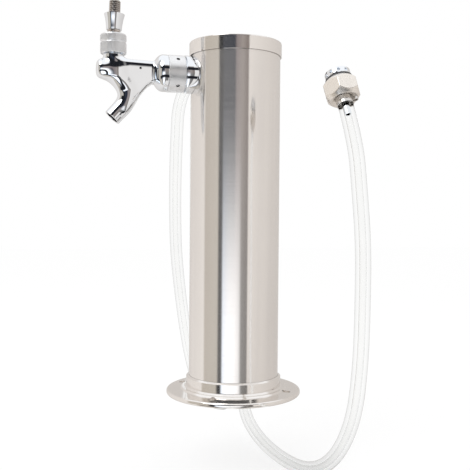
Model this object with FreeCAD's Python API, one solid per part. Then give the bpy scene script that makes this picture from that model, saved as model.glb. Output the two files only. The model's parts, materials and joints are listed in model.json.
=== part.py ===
# Beer tower with one faucet, a clear beer line and its coupler nut.
# Millimetres. +Z runs up the column, the faucet points to -Y, and the origin is the
# middle of the flange's underside.
import FreeCAD, Part
import math
import os

V = FreeCAD.Vector
UP = V(0, 0, 1)
FRONT = V(0, -1, 0)
SIDE = V(1, 0, 0)

# Clearances
RUN = 0.06           # radial, between a turning piece and what it turns on
SEAT = 0.03          # between pieces that stay put
SLIDE = 0.08         # radial, between a sliding piece and its guide
FACE_GAP = 0.1       # between end faces where one piece turns
OVER = 1.0           # how far a cutting shape runs past what it cuts
CORNER_SLOPE = 0.6   # how steeply the corners of a hex nut are turned down
CORNER_FACE = 0.98   # share of the flats that the nut's end face keeps

# Column and cap
COLUMN_R = 38.1      # 3 inch tube
COLUMN_WALL = 1.2
CAP_SEAM_Z = 285.6
CAP_TOP_Z = 297.0
CAP_WALL = 1.0
CAP_EDGE_R = 0.9
SEAL_HEIGHT = 7.0
SEAL_WALL = 3.0

# Base flange
FLANGE_R = 57.15     # 4 1/2 inch disc
RIM_THICK = 4.0
RIM_EDGE_R = 1.6
DISC_RISE = 0.8      # how far the disc climbs from rim to step
STEP_R = 44.0
STEP_HEIGHT = 1.3
COLLAR_R = 40.4
COLLAR_TOP_Z = 16.0
COLLAR_CHAMFER = 1.2
COLLAR_LAND = 0.3    # flat left at the collar's top
BASE_BORE_R = 34.5
LEDGE_Z = 2.5        # the column stands on this ledge
SCREW_COUNT = 4
SCREW_PCD = 95.25
SCREW_HOLE_R = 3.25
SCREW_START = 53.0   # degrees from the faucet's line

# Shank through the column wall
SHANK_Z = 269.0
SHANK_R = 11.0       # 7/8 inch thread
SHANK_REAR = 14.0    # distances from the column's axis, toward the front
SHANK_FRONT = 53.9
SHANK_NOSE_R = 13.6  # thread that takes the coupling nut
LINE_BORE_R = 2.4    # 3/16 inch passage
NOSE_POCKET_R = 6.2
NOSE_POCKET_DEEP = 10.0
COLLAR_FRONT = 44.5
COLLAR_OUT_R = 15.5
COLLAR_REACH = 4.0   # how far its saddle wraps back around the column
WALL_HOLE_GAP = 0.3
SADDLE_THICK = 6.0
SADDLE_R = 14.5
LOCK_NUT_AF = 27.0
LOCK_NUT_THICK = 5.0

# Coupling nut and what it clamps
NUT_REAR = 45.3
NUT_FRONT = 59.3
NUT_R = 15.25
NUT_LIP = 1.8
NUT_EDGE = 0.5
SPANNER_HOLE_R = 1.5
SPANNER_HOLE_DEEP = 1.2
SPANNER_HOLES = 4
SPANNER_START = 42.0  # degrees up from the side that faces +X
SPANNER_ROW = 0.46    # how far along the nut its holes lie
GASKET_THICK = 0.8
GASKET_R = 9.6
RING_WIRE_R = 0.6
RING_PROUD = 0.12    # from the tail's surface out to the wire's middle

# Faucet body
HEAD_Y = 103.2       # from the column's axis to the lever's axis
TAIL_R = 10.9
SHOULDER_R = 15.1
SHOULDER_LONG = 4.6
SHOULDER_TAPER = 6.4
SHOULDER_EDGE = 0.4
TAPER_TIP_R = 7.4    # the taper ends inside the arm
TAPER_TIP_LONG = 1.5
ARM_R = 9.2          # half the arm's height
PLATE_HALF = 6.2     # half the arm's width between its flat sides
PLATE_EDGE = 1.8
PLATE_INTO = 2.6     # how far the arm reaches into the taper
NOSE_RISE = 0.8
NOSE_LONG = 13.2     # from the lever's axis to the front
NOSE_CURVE = [(7.4, 4.2), (6.9, 2.2), (5.6, 0.7), (3.7, 0.0)]  # radius, distance behind the tip
NECK_R = 8.2
NECK_FOOT_Z = 266.0
NECK_TOP_Z = 282.0
CROWN_R = 9.2        # thread inside the bonnet
CROWN_TOP_Z = 290.0
SPOUT_R = 7.1
SPOUT_BORE_R = 5.5
SPOUT_TURN = 0.45    # share of a run that each bend uses
VENT_R = 0.8
VENT_Y = 82.0
VENT_UP = 2.0
SPOUT_PATH = [(110.5, 271.0), (99.0, 263.0), (92.0, 252.5), (93.4, 242.5), (104.1, 230.5)]
CHIN_Z = 261.8
WEB_FRONT = (95.4, 239.5)
WEB_TIP = (94.6, 233.4)
WEB_BACK = (86.9, 242.3)
WEB_MID = (79.2, 252.3)
WEB_FOOT = 4.0       # straight stretch under the arm before the web's curve

# Valve inside the faucet
VALVE_BORE_R = 4.5
SEAT_POCKET_R = 5.0
SEAT_POCKET_LONG = 6.0
THROAT_R = 3.3
THROAT_LONG = 4.0
THROAT_FLARE = 1.0
CHAMBER_LONG = 6.0   # from the lever's axis to the bore's blind end
PLUNGER_R = 2.0
PLUNGER_EYE_LONG = 10.0
PLUNGER_END = 1.2    # bare stem behind its nut
WASHER_R = 4.3
WASHER_THICK = 1.6
PLUNGER_NUT_AF = 6.0
PLUNGER_NUT_THICK = 2.6

# Lever
BALL_Z = 290.0
BALL_R = 6.8
LEVER_LEAN = -2.0    # degrees, the stud leans back to the column
LEVER_NECK_R = 4.2
LEVER_COLLAR_R = 5.2
LEVER_COLLAR_LONG = 1.0
FERRULE_UP = 11.1    # from the ball's centre to the ferrule
FERRULE_LONG = 13.0
FERRULE_LOW_R = 6.3
FERRULE_TOP_R = 8.3
FERRULE_EDGE = 0.6
STUD_R = 4.76        # 3/8 inch thread
STUD_ROOT_R = 4.7    # plain stretch under the ferrule
STUD_TOP = 35.0      # from the ball's centre
THREAD_PITCH = 1.5875
THREAD_DEEP = 0.55
THREAD_CREST = (0.4, 0.6)  # shares of the pitch between which a crest lies
FINGER_R = 1.7
FINGER_DOWN = 23.0   # from the ball's centre
FINGER_GAP = 0.2
LEVER_TRAVEL = 18.0  # degrees
SOCKET_FLOOR_Z = 283.0
WELL_R = 6.2
SLOT_HALF = 2.9
SLOT_FLOOR_Z = 265.5
SLOT_TOP_Z = 275.5
SOCKET_GAP = 0.1
BALL_SEAT_THICK = 3.2
BALL_SEAT_BORE_R = 4.6

# Bonnet
BONNET_R = 10.7
BONNET_TOP_Z = 298.0
GROOVE_Z = 291.5
GROOVE_DEEP = 0.7
GROOVE_HALF = 0.6
BONNET_FOOT_Z = 282.05
BONNET_FOOT_EDGE = 0.65
BONNET_CURVE = [(10.7, 1.4), (10.2, 0.5), (9.1, 0.0)]  # radius, distance below the top
BONNET_MOUTH_R = 8.2
BONNET_THROAT_R = 6.2
FRICTION_TOP_Z = 293.2
RIBS = 36            # grooves of the knurl
RIB_R = 0.45
RIB_OUT = 0.14       # how far a groove's axis lies outside the bonnet

# Elbow inside the column
ELBOW_NUT_AF = 27.0
ELBOW_LIP = 2.4
ELBOW_FLANGE_R = 9.0
ELBOW_FLANGE_THICK = 2.0
ELBOW_R = 4.4
ELBOW_BACK = 8.0     # the elbow's drop lies this far behind the column's axis
ELBOW_DROP_Z = 252.0
BARB_LONG = 14.0
TAIL_BORE_R = 1.7

# Beer line
HOSE_R = 5.55        # 7/16 inch outside
HOSE_BORE_R = 2.4    # 3/16 inch inside
HOSE_START_Z = 48.0  # where the inner run meets the outer run
BEND_SHARE = 0.45    # of the shorter run, on each side of a bend
INNER_ROUTE = [
    (0, 8, 251), (0, 8, 190), (-1, 10, 118), (-1, 10, HOSE_START_Z),
]
OUTER_ROUTE = [
    (-1, 10, HOSE_START_Z), (-1, 10, 18), (-14, 7, -7), (-37, 1, -21), (-65, -6, -22),
    (-90, -12, -8), (-105, -16, 18), (-107, -21, 49), (-99, -27, 83), (-86, -33, 115),
    (-72, -37, 147), (-58, -40, 180), (-44, -42, 214), (-39, -41, 257), (-55, -16, 289),
    (-80, 19, 289), (-97, 44, 258), (-98, 45, 217), (-97, 43, 177), (-97, 45, 137),
    (-97, 43, 98), (-99, 43, 60), (-100, 41, 22), (-86, 34, -12), (-56, 27, -35),
    (-20, 30, -49), (23, 38, -55), (68, 44, -50), (107, 48, -29), (130, 52, 6),
    (136, 54, 48), (136, 55, 90), (136, 55, 132), (135, 52, 171), (132, 50, 204),
    (116.4, 47.7, 236.7),
]

# End of the beer line, measured along the line's last run
CLAMP_GAP = 0.05
CLAMP_WALL = 0.7
CLAMP_LONG = 5.4
CLAMP_BACK = 3.0     # from the inner run's top to its clamp
END_CLAMP_BACK = 0.4  # from the outer run's end to its clamp
EAR_R = 2.0
EAR_WALL = 0.6
EAR_SINK = 0.5       # how far the ear runs into the band
EAR_INSET = 1.5
EAR_TURN = 40.0      # degrees round the line, from the side that faces +Y
TAIL_SHOULDER_R = 4.7
TAIL_SHOULDER_LONG = 1.2
TAIL_SHOULDER_EDGE = 0.4
TAIL_STEM_R = 4.3
TAIL_FLANGE_R = 9.6
TAIL_FLANGE_THICK = 2.0
NUT_START = -1.6     # the nut's mouth hides the end of the hose
HEX_AF = 23.8        # 15/16 inch
HEX_LONG = 16.0
HEX_FLOOR = 4.4
HEX_MOUTH_R = 9.0
HEX_LIP = 1.2
HEX_THREAD_R = 10.2
BLACK_RING_R = 9.9
BLACK_RING_THICK = 1.6
CROWN_OUT_R = 9.3
CROWN_LONG = 5.0
CROWN_SLEEVE_R = 6.5
CROWN_BORE_R = 4.5
CROWN_NOTCHES = 10
CROWN_NOTCH_WIDE = 2.2
CROWN_NOTCH_DEEP = 2.2


def front(distance, z=SHANK_Z, x=0.0):
    """A point at a distance in front of the column's axis."""
    return V(x, -distance, z)


def across(axis):
    """A unit vector square to an axis."""
    other = SIDE if abs(axis.dot(SIDE)) < 0.9 else UP
    out = axis.cross(other)
    out.normalize()
    return out


def turned(profile, base, axis):
    """A solid of revolution. The profile lists (radius, distance along the axis)."""
    out = across(axis)
    points = [base + out * radius + axis * far for radius, far in profile]
    face = Part.Face(Part.makePolygon(points + points[:1]))
    return face.revolve(base, axis, 360)


def pipe(outer, inner, start, end, base, axis):
    """A plain ring between two distances along an axis."""
    return turned([(inner, start), (outer, start), (outer, end), (inner, end)], base, axis)


def rod(radius, start, end):
    """A cylinder from one point to another."""
    return Part.makeCylinder(radius, (end - start).Length, start, end - start)


def hexagon(flats, start, end, base, axis):
    """A hexagonal prism with its corners turned down at both ends."""
    corner = flats / math.sqrt(3)
    out = across(axis)
    side = axis.cross(out)
    points = []
    for i in range(7):
        angle = math.radians(60 * i)
        spoke = out * math.cos(angle) + side * math.sin(angle)
        points.append(base + axis * start + spoke * corner)
    prism = Part.Face(Part.makePolygon(points)).extrude(axis * (end - start))
    turn = (corner - flats / 2) * CORNER_SLOPE
    face = flats / 2 * CORNER_FACE
    barrel = turned(
        [(0, start), (face, start), (corner, start + turn), (corner, end - turn), (face, end), (0, end)],
        base, axis)
    return prism.common(barrel)


def rounded(shape, radius, centre_z, edge_r, tolerance=0.05):
    """Rounds the level circular edges of one height and radius."""
    edges = []
    for edge in shape.Edges:
        curve = edge.Curve
        if not isinstance(curve, Part.Circle):
            continue
        if abs(curve.Center.z - centre_z) < tolerance and abs(curve.Radius - edge_r) < tolerance:
            edges.append(edge)
    return shape.makeFillet(radius, edges)


def bent_wire(points, share, say=None):
    """Straight runs joined by tangent arcs. Returns the wire and its length."""
    points = [V(*p) for p in points]
    edges = []
    here = points[0]
    for before, corner, after in zip(points, points[1:], points[2:]):
        into = corner - before
        out = after - corner
        back = share * min(into.Length, out.Length)
        into.normalize()
        out.normalize()
        turn = into.getAngle(out)
        radius = back / math.tan(turn / 2)
        start = corner - into * back
        end = corner + out * back
        toward = out - into
        toward.normalize()
        middle = corner + toward * (radius / math.cos(turn / 2) - radius)
        edges.append(Part.LineSegment(here, start).toShape())
        edges.append(Part.Arc(start, middle, end).toShape())
        here = end
        if say:
            print(say, "bend of", round(math.degrees(turn)), "degrees, radius", round(radius, 1))
    edges.append(Part.LineSegment(here, points[-1]).toShape())
    wire = Part.Wire(edges)
    return wire, wire.Length


def tube_along(points, share, radius, bore=0.0, say=None):
    """A round solid, or a hollow one, that follows a bent wire."""
    wire, length = bent_wire(points, share, say)
    first = V(*points[0])
    aim = V(*points[1]) - first
    rings = [Part.Wire(Part.makeCircle(radius, first, aim))]
    if bore:
        rings.append(Part.Wire(Part.makeCircle(bore, first, aim)))
    return wire.makePipe(Part.Face(rings, "Part::FaceMakerBullseye")), length


def hose(points, say):
    """A length of beer line with its bore."""
    line, length = tube_along(points, BEND_SHARE, HOSE_R, HOSE_BORE_R, say)
    expected = math.pi * (HOSE_R ** 2 - HOSE_BORE_R ** 2) * length
    print(say, "length", round(length), "volume over section times length", round(line.Volume / expected, 4))
    return line


def column_tube():
    inner = COLUMN_R - COLUMN_WALL
    top = CAP_TOP_Z - CAP_WALL - SEAT
    tube = pipe(COLUMN_R, inner, LEDGE_Z + SEAT, top, V(), UP)
    hole = rod(SHANK_R + WALL_HOLE_GAP, front(SHANK_REAR), front(COLUMN_R + OVER))
    return tube.cut(hole)


def base_flange():
    step_z = RIM_THICK + DISC_RISE
    profile = [
        (BASE_BORE_R, 0), (FLANGE_R, 0), (FLANGE_R, RIM_THICK), (STEP_R + STEP_HEIGHT, step_z),
        (STEP_R, step_z + STEP_HEIGHT), (COLLAR_R + STEP_HEIGHT, step_z + STEP_HEIGHT),
        (COLLAR_R, step_z + 2 * STEP_HEIGHT), (COLLAR_R, COLLAR_TOP_Z - COLLAR_CHAMFER),
        (COLUMN_R + SEAT + COLLAR_LAND, COLLAR_TOP_Z), (COLUMN_R + SEAT, COLLAR_TOP_Z),
        (COLUMN_R + SEAT, LEDGE_Z), (BASE_BORE_R, LEDGE_Z),
    ]
    flange = turned(profile, V(), UP)
    flange = rounded(flange, RIM_EDGE_R, RIM_THICK, FLANGE_R)
    flange = rounded(flange, RIM_EDGE_R, 0, FLANGE_R)
    for i in range(SCREW_COUNT):
        angle = math.radians(SCREW_START + 360 / SCREW_COUNT * i - 90)
        foot = V(math.cos(angle), math.sin(angle), 0) * (SCREW_PCD / 2)
        flange = flange.cut(Part.makeCylinder(SCREW_HOLE_R, COLLAR_TOP_Z, foot - UP))
    return flange


def top_cap():
    bore = COLUMN_R + SLIDE
    outer = bore + CAP_WALL
    profile = [
        (0, CAP_TOP_Z - CAP_WALL), (bore, CAP_TOP_Z - CAP_WALL), (bore, CAP_SEAM_Z),
        (outer, CAP_SEAM_Z), (outer, CAP_TOP_Z), (0, CAP_TOP_Z),
    ]
    return rounded(turned(profile, V(), UP), CAP_EDGE_R, CAP_TOP_Z, outer)


def cap_seal():
    outer = COLUMN_R - COLUMN_WALL - SLIDE
    top = CAP_TOP_Z - CAP_WALL - SEAT
    return pipe(outer, outer - SEAL_WALL, top - SEAL_HEIGHT, top, V(), UP)


def shank():
    bore = LINE_BORE_R
    pocket = SHANK_FRONT - NOSE_POCKET_DEEP
    shoulder = COLLAR_FRONT + SEAT
    profile = [
        (bore, SHANK_REAR), (SHANK_R, SHANK_REAR), (SHANK_R, shoulder), (SHANK_NOSE_R, shoulder),
        (SHANK_NOSE_R, SHANK_FRONT), (NOSE_POCKET_R, SHANK_FRONT), (NOSE_POCKET_R, pocket), (bore, pocket),
    ]
    return turned(profile, front(0), FRONT)


def shank_collar():
    blank = pipe(COLLAR_OUT_R, SHANK_R + SEAT, COLUMN_R - COLLAR_REACH, COLLAR_FRONT, front(0), FRONT)
    column = Part.makeCylinder(COLUMN_R + SEAT, CAP_TOP_Z)
    return blank.cut(column)


def inner_saddle():
    wall = COLUMN_R - COLUMN_WALL
    rear = wall - SADDLE_THICK
    blank = pipe(SADDLE_R, SHANK_R + SEAT, rear, wall + OVER, front(0), FRONT)
    room = Part.makeCylinder(wall - SEAT, CAP_TOP_Z)
    return blank.common(room)


def lock_nut():
    front_face = COLUMN_R - COLUMN_WALL - SADDLE_THICK - SEAT
    rear = front_face - LOCK_NUT_THICK
    body = hexagon(LOCK_NUT_AF, rear, front_face, front(0), FRONT)
    return body.cut(rod(SHANK_R + SEAT, front(rear - OVER), front(front_face + OVER)))


def coupling_nut():
    thread = SHANK_NOSE_R + RUN
    lip = NUT_FRONT - NUT_LIP
    hole = TAIL_R + RUN
    profile = [
        (thread, NUT_REAR), (NUT_R - NUT_EDGE, NUT_REAR), (NUT_R, NUT_REAR + NUT_EDGE),
        (NUT_R, NUT_FRONT - NUT_EDGE), (NUT_R - NUT_EDGE, NUT_FRONT), (hole, NUT_FRONT),
        (hole, lip), (thread, lip),
    ]
    nut = turned(profile, front(0), FRONT)
    row = NUT_REAR + SPANNER_ROW * (NUT_FRONT - NUT_REAR)
    for i in range(SPANNER_HOLES):
        angle = math.radians(SPANNER_START + 360 / SPANNER_HOLES * i)
        out = V(math.cos(angle), 0, math.sin(angle))
        foot = front(row) + out * (NUT_R - SPANNER_HOLE_DEEP)
        nut = nut.cut(rod(SPANNER_HOLE_R, foot, front(row) + out * (NUT_R + OVER)))
    return nut


def tail_rear():
    """Where the faucet's tail starts, in front of the gasket."""
    return SHANK_FRONT + GASKET_THICK + 2 * SEAT


def coupling_gasket():
    start = SHANK_FRONT + SEAT
    return pipe(GASKET_R, NOSE_POCKET_R, start, start + GASKET_THICK, front(0), FRONT)


def ring_place():
    """Where the middle of the snap ring lies along the tail."""
    return NUT_FRONT - NUT_LIP - SEAT - RING_WIRE_R


def snap_ring():
    return Part.makeTorus(TAIL_R + RING_PROUD, RING_WIRE_R, front(ring_place()), FRONT)


def shoulder_start():
    """Where the faucet's shoulder starts, in front of the coupling nut."""
    return NUT_FRONT + SEAT + FACE_GAP


def arm_plate():
    """The flat-sided casting between shoulder, head and spout."""
    start = shoulder_start() + SHOULDER_LONG + SHOULDER_TAPER - PLATE_INTO
    top = SHANK_Z + ARM_R
    low = SHANK_Z - ARM_R
    corners = [(start, top), (HEAD_Y, top), (HEAD_Y, CHIN_Z), SPOUT_PATH[2]]
    corners += [WEB_FRONT, WEB_TIP, WEB_BACK]
    points = [front(far, z, -PLATE_HALF) for far, z in corners]
    edges = [Part.LineSegment(a, b).toShape() for a, b in zip(points, points[1:])]
    middle = front(WEB_MID[0], WEB_MID[1], -PLATE_HALF)
    foot = front(start + WEB_FOOT, low, -PLATE_HALF)
    edges.append(Part.Arc(points[-1], middle, foot).toShape())
    corner = front(start, low, -PLATE_HALF)
    edges.append(Part.LineSegment(foot, corner).toShape())
    edges.append(Part.LineSegment(corner, points[0]).toShape())
    plate = Part.Face(Part.Wire(edges)).extrude(SIDE * 2 * PLATE_HALF)
    rims = [edge for edge in plate.Edges if abs(abs(edge.CenterOfMass.x) - PLATE_HALF) < 0.01]
    return plate.makeFillet(PLATE_EDGE, rims)


def spout_tube(radius, stretch=0.0):
    """The spout along its centre line, or its bore, which runs past the mouth."""
    points = [(0, -far, z) for far, z in SPOUT_PATH]
    if stretch:
        last = V(*points[-1])
        aim = last - V(*points[-2])
        aim.normalize()
        end = last + aim * stretch
        points[-1] = (end.x, end.y, end.z)
    return tube_along(points, SPOUT_TURN, radius)[0]


def faucet_outside():
    tail = tail_rear()
    start = shoulder_start()
    wide_end = start + SHOULDER_LONG
    taper_end = wide_end + SHOULDER_TAPER
    shoulder = turned(
        [(0, tail), (TAIL_R, tail), (TAIL_R, start), (SHOULDER_R - SHOULDER_EDGE, start),
         (SHOULDER_R, start + SHOULDER_EDGE), (SHOULDER_R, wide_end), (ARM_R, taper_end),
         (TAPER_TIP_R, taper_end + TAPER_TIP_LONG), (0, taper_end + TAPER_TIP_LONG)],
        front(0), FRONT)
    nose_axis = front(0, SHANK_Z + NOSE_RISE)
    tip = HEAD_Y + NOSE_LONG
    outline = [(0, HEAD_Y - NECK_R), (NOSE_CURVE[0][0], HEAD_Y - NECK_R)]
    outline += [(radius, tip - back) for radius, back in NOSE_CURVE]
    nose = turned(outline + [(0, tip)], nose_axis, FRONT)
    axis_foot = front(HEAD_Y, 0)
    neck = turned(
        [(0, NECK_FOOT_Z), (NECK_R, NECK_FOOT_Z), (NECK_R, NECK_TOP_Z), (CROWN_R, NECK_TOP_Z),
         (CROWN_R, CROWN_TOP_Z), (0, CROWN_TOP_Z)],
        axis_foot, UP)
    body = shoulder.fuse([arm_plate(), nose, neck, spout_tube(SPOUT_R)])
    return body.removeSplitter()


def faucet_passage():
    """The beer's way from the tail to the chamber under the lever."""
    start = tail_rear() - OVER
    seat = tail_rear() + SEAT_POCKET_LONG
    bore = seat + THROAT_LONG + THROAT_FLARE
    end = HEAD_Y + CHAMBER_LONG
    return turned(
        [(0, start), (SEAT_POCKET_R, start), (SEAT_POCKET_R, seat), (THROAT_R, seat),
         (THROAT_R, seat + THROAT_LONG), (VALVE_BORE_R, bore), (VALVE_BORE_R, end), (0, end)],
        front(0), FRONT)


def finger_room():
    """The slot that the lever's finger swings in."""
    ahead = FINGER_R + 2 * OVER
    reach = math.tan(math.radians(LEVER_TRAVEL)) * (BALL_Z - SLOT_FLOOR_Z) + FINGER_R + OVER
    corner = V(-SLOT_HALF, -HEAD_Y - ahead, SLOT_FLOOR_Z)
    return Part.makeBox(2 * SLOT_HALF, ahead + reach, SLOT_TOP_Z - SLOT_FLOOR_Z, corner)


def faucet_body():
    socket = rod(BALL_R + SOCKET_GAP, front(HEAD_Y, SOCKET_FLOOR_Z), front(HEAD_Y, CROWN_TOP_Z + OVER))
    well = rod(WELL_R, front(HEAD_Y, SHANK_Z), front(HEAD_Y, SOCKET_FLOOR_Z + OVER))
    vent_z = SHANK_Z + VENT_UP
    vent = rod(VENT_R, front(VENT_Y, vent_z), front(VENT_Y, vent_z, PLATE_HALF + OVER))
    groove = Part.makeTorus(TAIL_R + RING_PROUD, RING_WIRE_R + SEAT, front(ring_place()), FRONT)
    spout = spout_tube(SPOUT_BORE_R, OVER)
    return faucet_outside().cut([groove, faucet_passage(), socket, well, finger_room(), vent, spout])


def plunger_rear():
    washer = tail_rear() + SEAT_POCKET_LONG - SEAT - WASHER_THICK
    return washer - SEAT - PLUNGER_NUT_THICK - PLUNGER_END


def finger_shift():
    """How far the lean moves the finger forward at the plunger's height."""
    return math.tan(math.radians(-LEVER_LEAN)) * (BALL_Z - SHANK_Z)


def faucet_plunger():
    radius = VALVE_BORE_R - SLIDE
    eye_start = HEAD_Y - PLUNGER_EYE_LONG / 2
    stem = rod(PLUNGER_R, front(plunger_rear()), front(eye_start + OVER))
    eye = rod(radius, front(eye_start), front(eye_start + PLUNGER_EYE_LONG))
    tilt = math.radians(LEVER_TRAVEL + LEVER_LEAN)
    half_wide = FINGER_R + FINGER_GAP
    half_long = FINGER_R / math.cos(tilt) + radius * math.tan(tilt) + FINGER_GAP
    corner = V(-half_wide, -HEAD_Y - finger_shift() - half_long, SHANK_Z - 2 * radius)
    return stem.fuse(eye).cut(Part.makeBox(2 * half_wide, 2 * half_long, 4 * radius, corner))


def seat_washer():
    start = tail_rear() + SEAT_POCKET_LONG - SEAT - WASHER_THICK
    return pipe(WASHER_R, PLUNGER_R + SEAT, start, start + WASHER_THICK, front(0), FRONT)


def plunger_nut():
    end = tail_rear() + SEAT_POCKET_LONG - 2 * SEAT - WASHER_THICK
    start = end - PLUNGER_NUT_THICK
    nut = hexagon(PLUNGER_NUT_AF, start, end, front(0), FRONT)
    return nut.cut(rod(PLUNGER_R + SEAT, front(start - OVER), front(end + OVER)))


def ball_centre():
    return front(HEAD_Y, BALL_Z)


def lever_axis():
    """The stud's own line, leaning back to the column."""
    lean = math.radians(LEVER_LEAN)
    return V(0, -math.sin(lean), math.cos(lean))


def ball_seat():
    floor = SOCKET_FLOOR_Z + SEAT
    outer = BALL_R + SOCKET_GAP - SEAT
    ring = pipe(outer, BALL_SEAT_BORE_R, floor, floor + BALL_SEAT_THICK, front(HEAD_Y, 0), UP)
    return ring.cut(Part.makeSphere(BALL_R + RUN, ball_centre()))


def friction_ring():
    start = CROWN_TOP_Z + SEAT
    ring = pipe(CROWN_R - SEAT, BALL_SEAT_BORE_R, start, FRICTION_TOP_Z, front(HEAD_Y, 0), UP)
    return ring.cut(Part.makeSphere(BALL_R + RUN, ball_centre()))


def bonnet():
    thread = CROWN_R + RUN
    shelf = FRICTION_TOP_Z + SEAT
    profile = [
        (thread, BONNET_FOOT_Z), (BONNET_R - BONNET_FOOT_EDGE, BONNET_FOOT_Z),
        (BONNET_R, BONNET_FOOT_Z + BONNET_FOOT_EDGE), (BONNET_R, GROOVE_Z - GROOVE_HALF),
        (BONNET_R - GROOVE_DEEP, GROOVE_Z), (BONNET_R, GROOVE_Z + GROOVE_HALF),
    ]
    profile += [(radius, BONNET_TOP_Z - below) for radius, below in BONNET_CURVE]
    profile += [(BONNET_MOUTH_R, BONNET_TOP_Z), (BONNET_THROAT_R, shelf), (thread, shelf)]
    shell = turned(profile, front(HEAD_Y, 0), UP)
    grooves = []
    for i in range(RIBS):
        angle = 2 * math.pi * i / RIBS
        out = V(math.cos(angle), math.sin(angle), 0)
        foot = front(HEAD_Y, BONNET_FOOT_Z - OVER) + out * (BONNET_R + RIB_OUT)
        grooves.append(rod(RIB_R, foot, foot + UP * (BONNET_TOP_Z - BONNET_FOOT_Z + 2 * OVER)))
    return shell.cut(grooves)


def lever():
    centre = ball_centre()
    axis = lever_axis()
    ball = Part.makeSphere(BALL_R, centre)
    collar = FERRULE_UP - SEAT
    profile = [(0, 0), (LEVER_NECK_R, 0), (LEVER_NECK_R, collar - LEVER_COLLAR_LONG)]
    profile += [(LEVER_COLLAR_R, collar - LEVER_COLLAR_LONG), (LEVER_COLLAR_R, collar)]
    height = FERRULE_UP + FERRULE_LONG
    profile += [(STUD_ROOT_R, collar), (STUD_ROOT_R, height)]
    while height + THREAD_PITCH < STUD_TOP:
        profile.append((STUD_R - THREAD_DEEP, height))
        profile += [(STUD_R, height + THREAD_PITCH * share) for share in THREAD_CREST]
        height += THREAD_PITCH
    profile += [(STUD_R - THREAD_DEEP, height), (STUD_R - THREAD_DEEP, STUD_TOP), (0, STUD_TOP)]
    stem = turned(profile, centre, axis)
    finger = rod(FINGER_R, centre, centre - axis * FINGER_DOWN)
    return ball.fuse([stem, finger])


def lever_ferrule():
    end = FERRULE_UP + FERRULE_LONG
    bore = STUD_ROOT_R + RUN + SEAT
    profile = [
        (bore, FERRULE_UP), (FERRULE_LOW_R - FERRULE_EDGE, FERRULE_UP),
        (FERRULE_LOW_R, FERRULE_UP + FERRULE_EDGE),
        (FERRULE_TOP_R, end - FERRULE_EDGE), (FERRULE_TOP_R - FERRULE_EDGE, end), (bore, end),
    ]
    return turned(profile, ball_centre(), lever_axis())


def elbow_gasket():
    end = SHANK_REAR - SEAT
    return pipe(ELBOW_FLANGE_R, LINE_BORE_R, end - GASKET_THICK, end, front(0), FRONT)


def flange_front():
    """The front face of the elbow's flange."""
    return SHANK_REAR - 2 * SEAT - GASKET_THICK


def elbow_nut():
    end = SHANK_REAR + LOCK_NUT_THICK
    lip = flange_front() - ELBOW_FLANGE_THICK - SEAT
    start = lip - ELBOW_LIP
    body = hexagon(ELBOW_NUT_AF, start, end, front(0), FRONT)
    room = turned(
        [(0, start - OVER), (ELBOW_R + SEAT, start - OVER), (ELBOW_R + SEAT, lip),
         (SHANK_R + SEAT, lip), (SHANK_R + SEAT, end + OVER), (0, end + OVER)],
        front(0), FRONT)
    return body.cut(room)


def elbow_tail():
    face = flange_front()
    corner = front(-ELBOW_BACK)
    foot = front(-ELBOW_BACK, ELBOW_DROP_Z)
    tip = foot - UP * BARB_LONG
    flange = rod(ELBOW_FLANGE_R, front(face - ELBOW_FLANGE_THICK), front(face))
    neck = rod(ELBOW_R, corner, front(face - ELBOW_FLANGE_THICK / 2))
    knee = Part.makeSphere(ELBOW_R, corner)
    drop = rod(ELBOW_R, foot, corner)
    barb = rod(HOSE_BORE_R - SEAT, tip, foot + UP)
    solid = flange.fuse([neck, knee, drop, barb])
    along = rod(TAIL_BORE_R, front(face + OVER), corner)
    turn = Part.makeSphere(TAIL_BORE_R, corner)
    down = rod(TAIL_BORE_R, corner, tip - UP * OVER)
    return solid.cut([along, turn, down])


def ear_clamp(base, axis, ear_side):
    """A stepless ear clamp around the hose, with its ear to one side."""
    inner = HOSE_R + CLAMP_GAP
    outer = inner + CLAMP_WALL
    band = pipe(outer, inner, 0, CLAMP_LONG, base, axis)
    spot = base + ear_side * (outer + EAR_R - EAR_SINK)
    ear = rod(EAR_R, spot + axis * EAR_INSET, spot + axis * (CLAMP_LONG - EAR_INSET))
    hole = rod(EAR_R - EAR_WALL, spot - axis, spot + axis * (CLAMP_LONG + OVER))
    bore = rod(inner, base - axis, base + axis * (CLAMP_LONG + OVER))
    return band.fuse(ear).cut([hole, bore])


def inner_clamp():
    top = V(*INNER_ROUTE[0])
    return ear_clamp(top - UP * (CLAMP_LONG + CLAMP_BACK), UP, SIDE)


def hose_end():
    """The end of the beer line and the direction that it points in."""
    end = V(*OUTER_ROUTE[-1])
    aim = end - V(*OUTER_ROUTE[-2])
    aim.normalize()
    return end, aim


def hose_clamp():
    end, aim = hose_end()
    side = aim.cross(UP)
    side.normalize()
    turn = math.radians(EAR_TURN)
    ear_side = side * math.cos(turn) + side.cross(aim) * math.sin(turn)
    return ear_clamp(end - aim * (CLAMP_LONG + END_CLAMP_BACK), aim, ear_side)


def tail_flange_rear():
    return NUT_START + HEX_FLOOR + SEAT


def hose_tailpiece():
    end, aim = hose_end()
    seat = tail_flange_rear()
    flange_end = seat + TAIL_FLANGE_THICK
    bore = TAIL_BORE_R
    profile = [
        (bore, -BARB_LONG), (HOSE_BORE_R - SEAT, -BARB_LONG), (HOSE_BORE_R - SEAT, SEAT),
        (TAIL_SHOULDER_R, SEAT), (TAIL_SHOULDER_R, TAIL_SHOULDER_LONG),
        (TAIL_STEM_R, TAIL_SHOULDER_LONG + TAIL_SHOULDER_EDGE), (TAIL_STEM_R, seat),
        (TAIL_FLANGE_R, seat), (TAIL_FLANGE_R, flange_end), (bore, flange_end),
    ]
    return turned(profile, end, aim)


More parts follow.
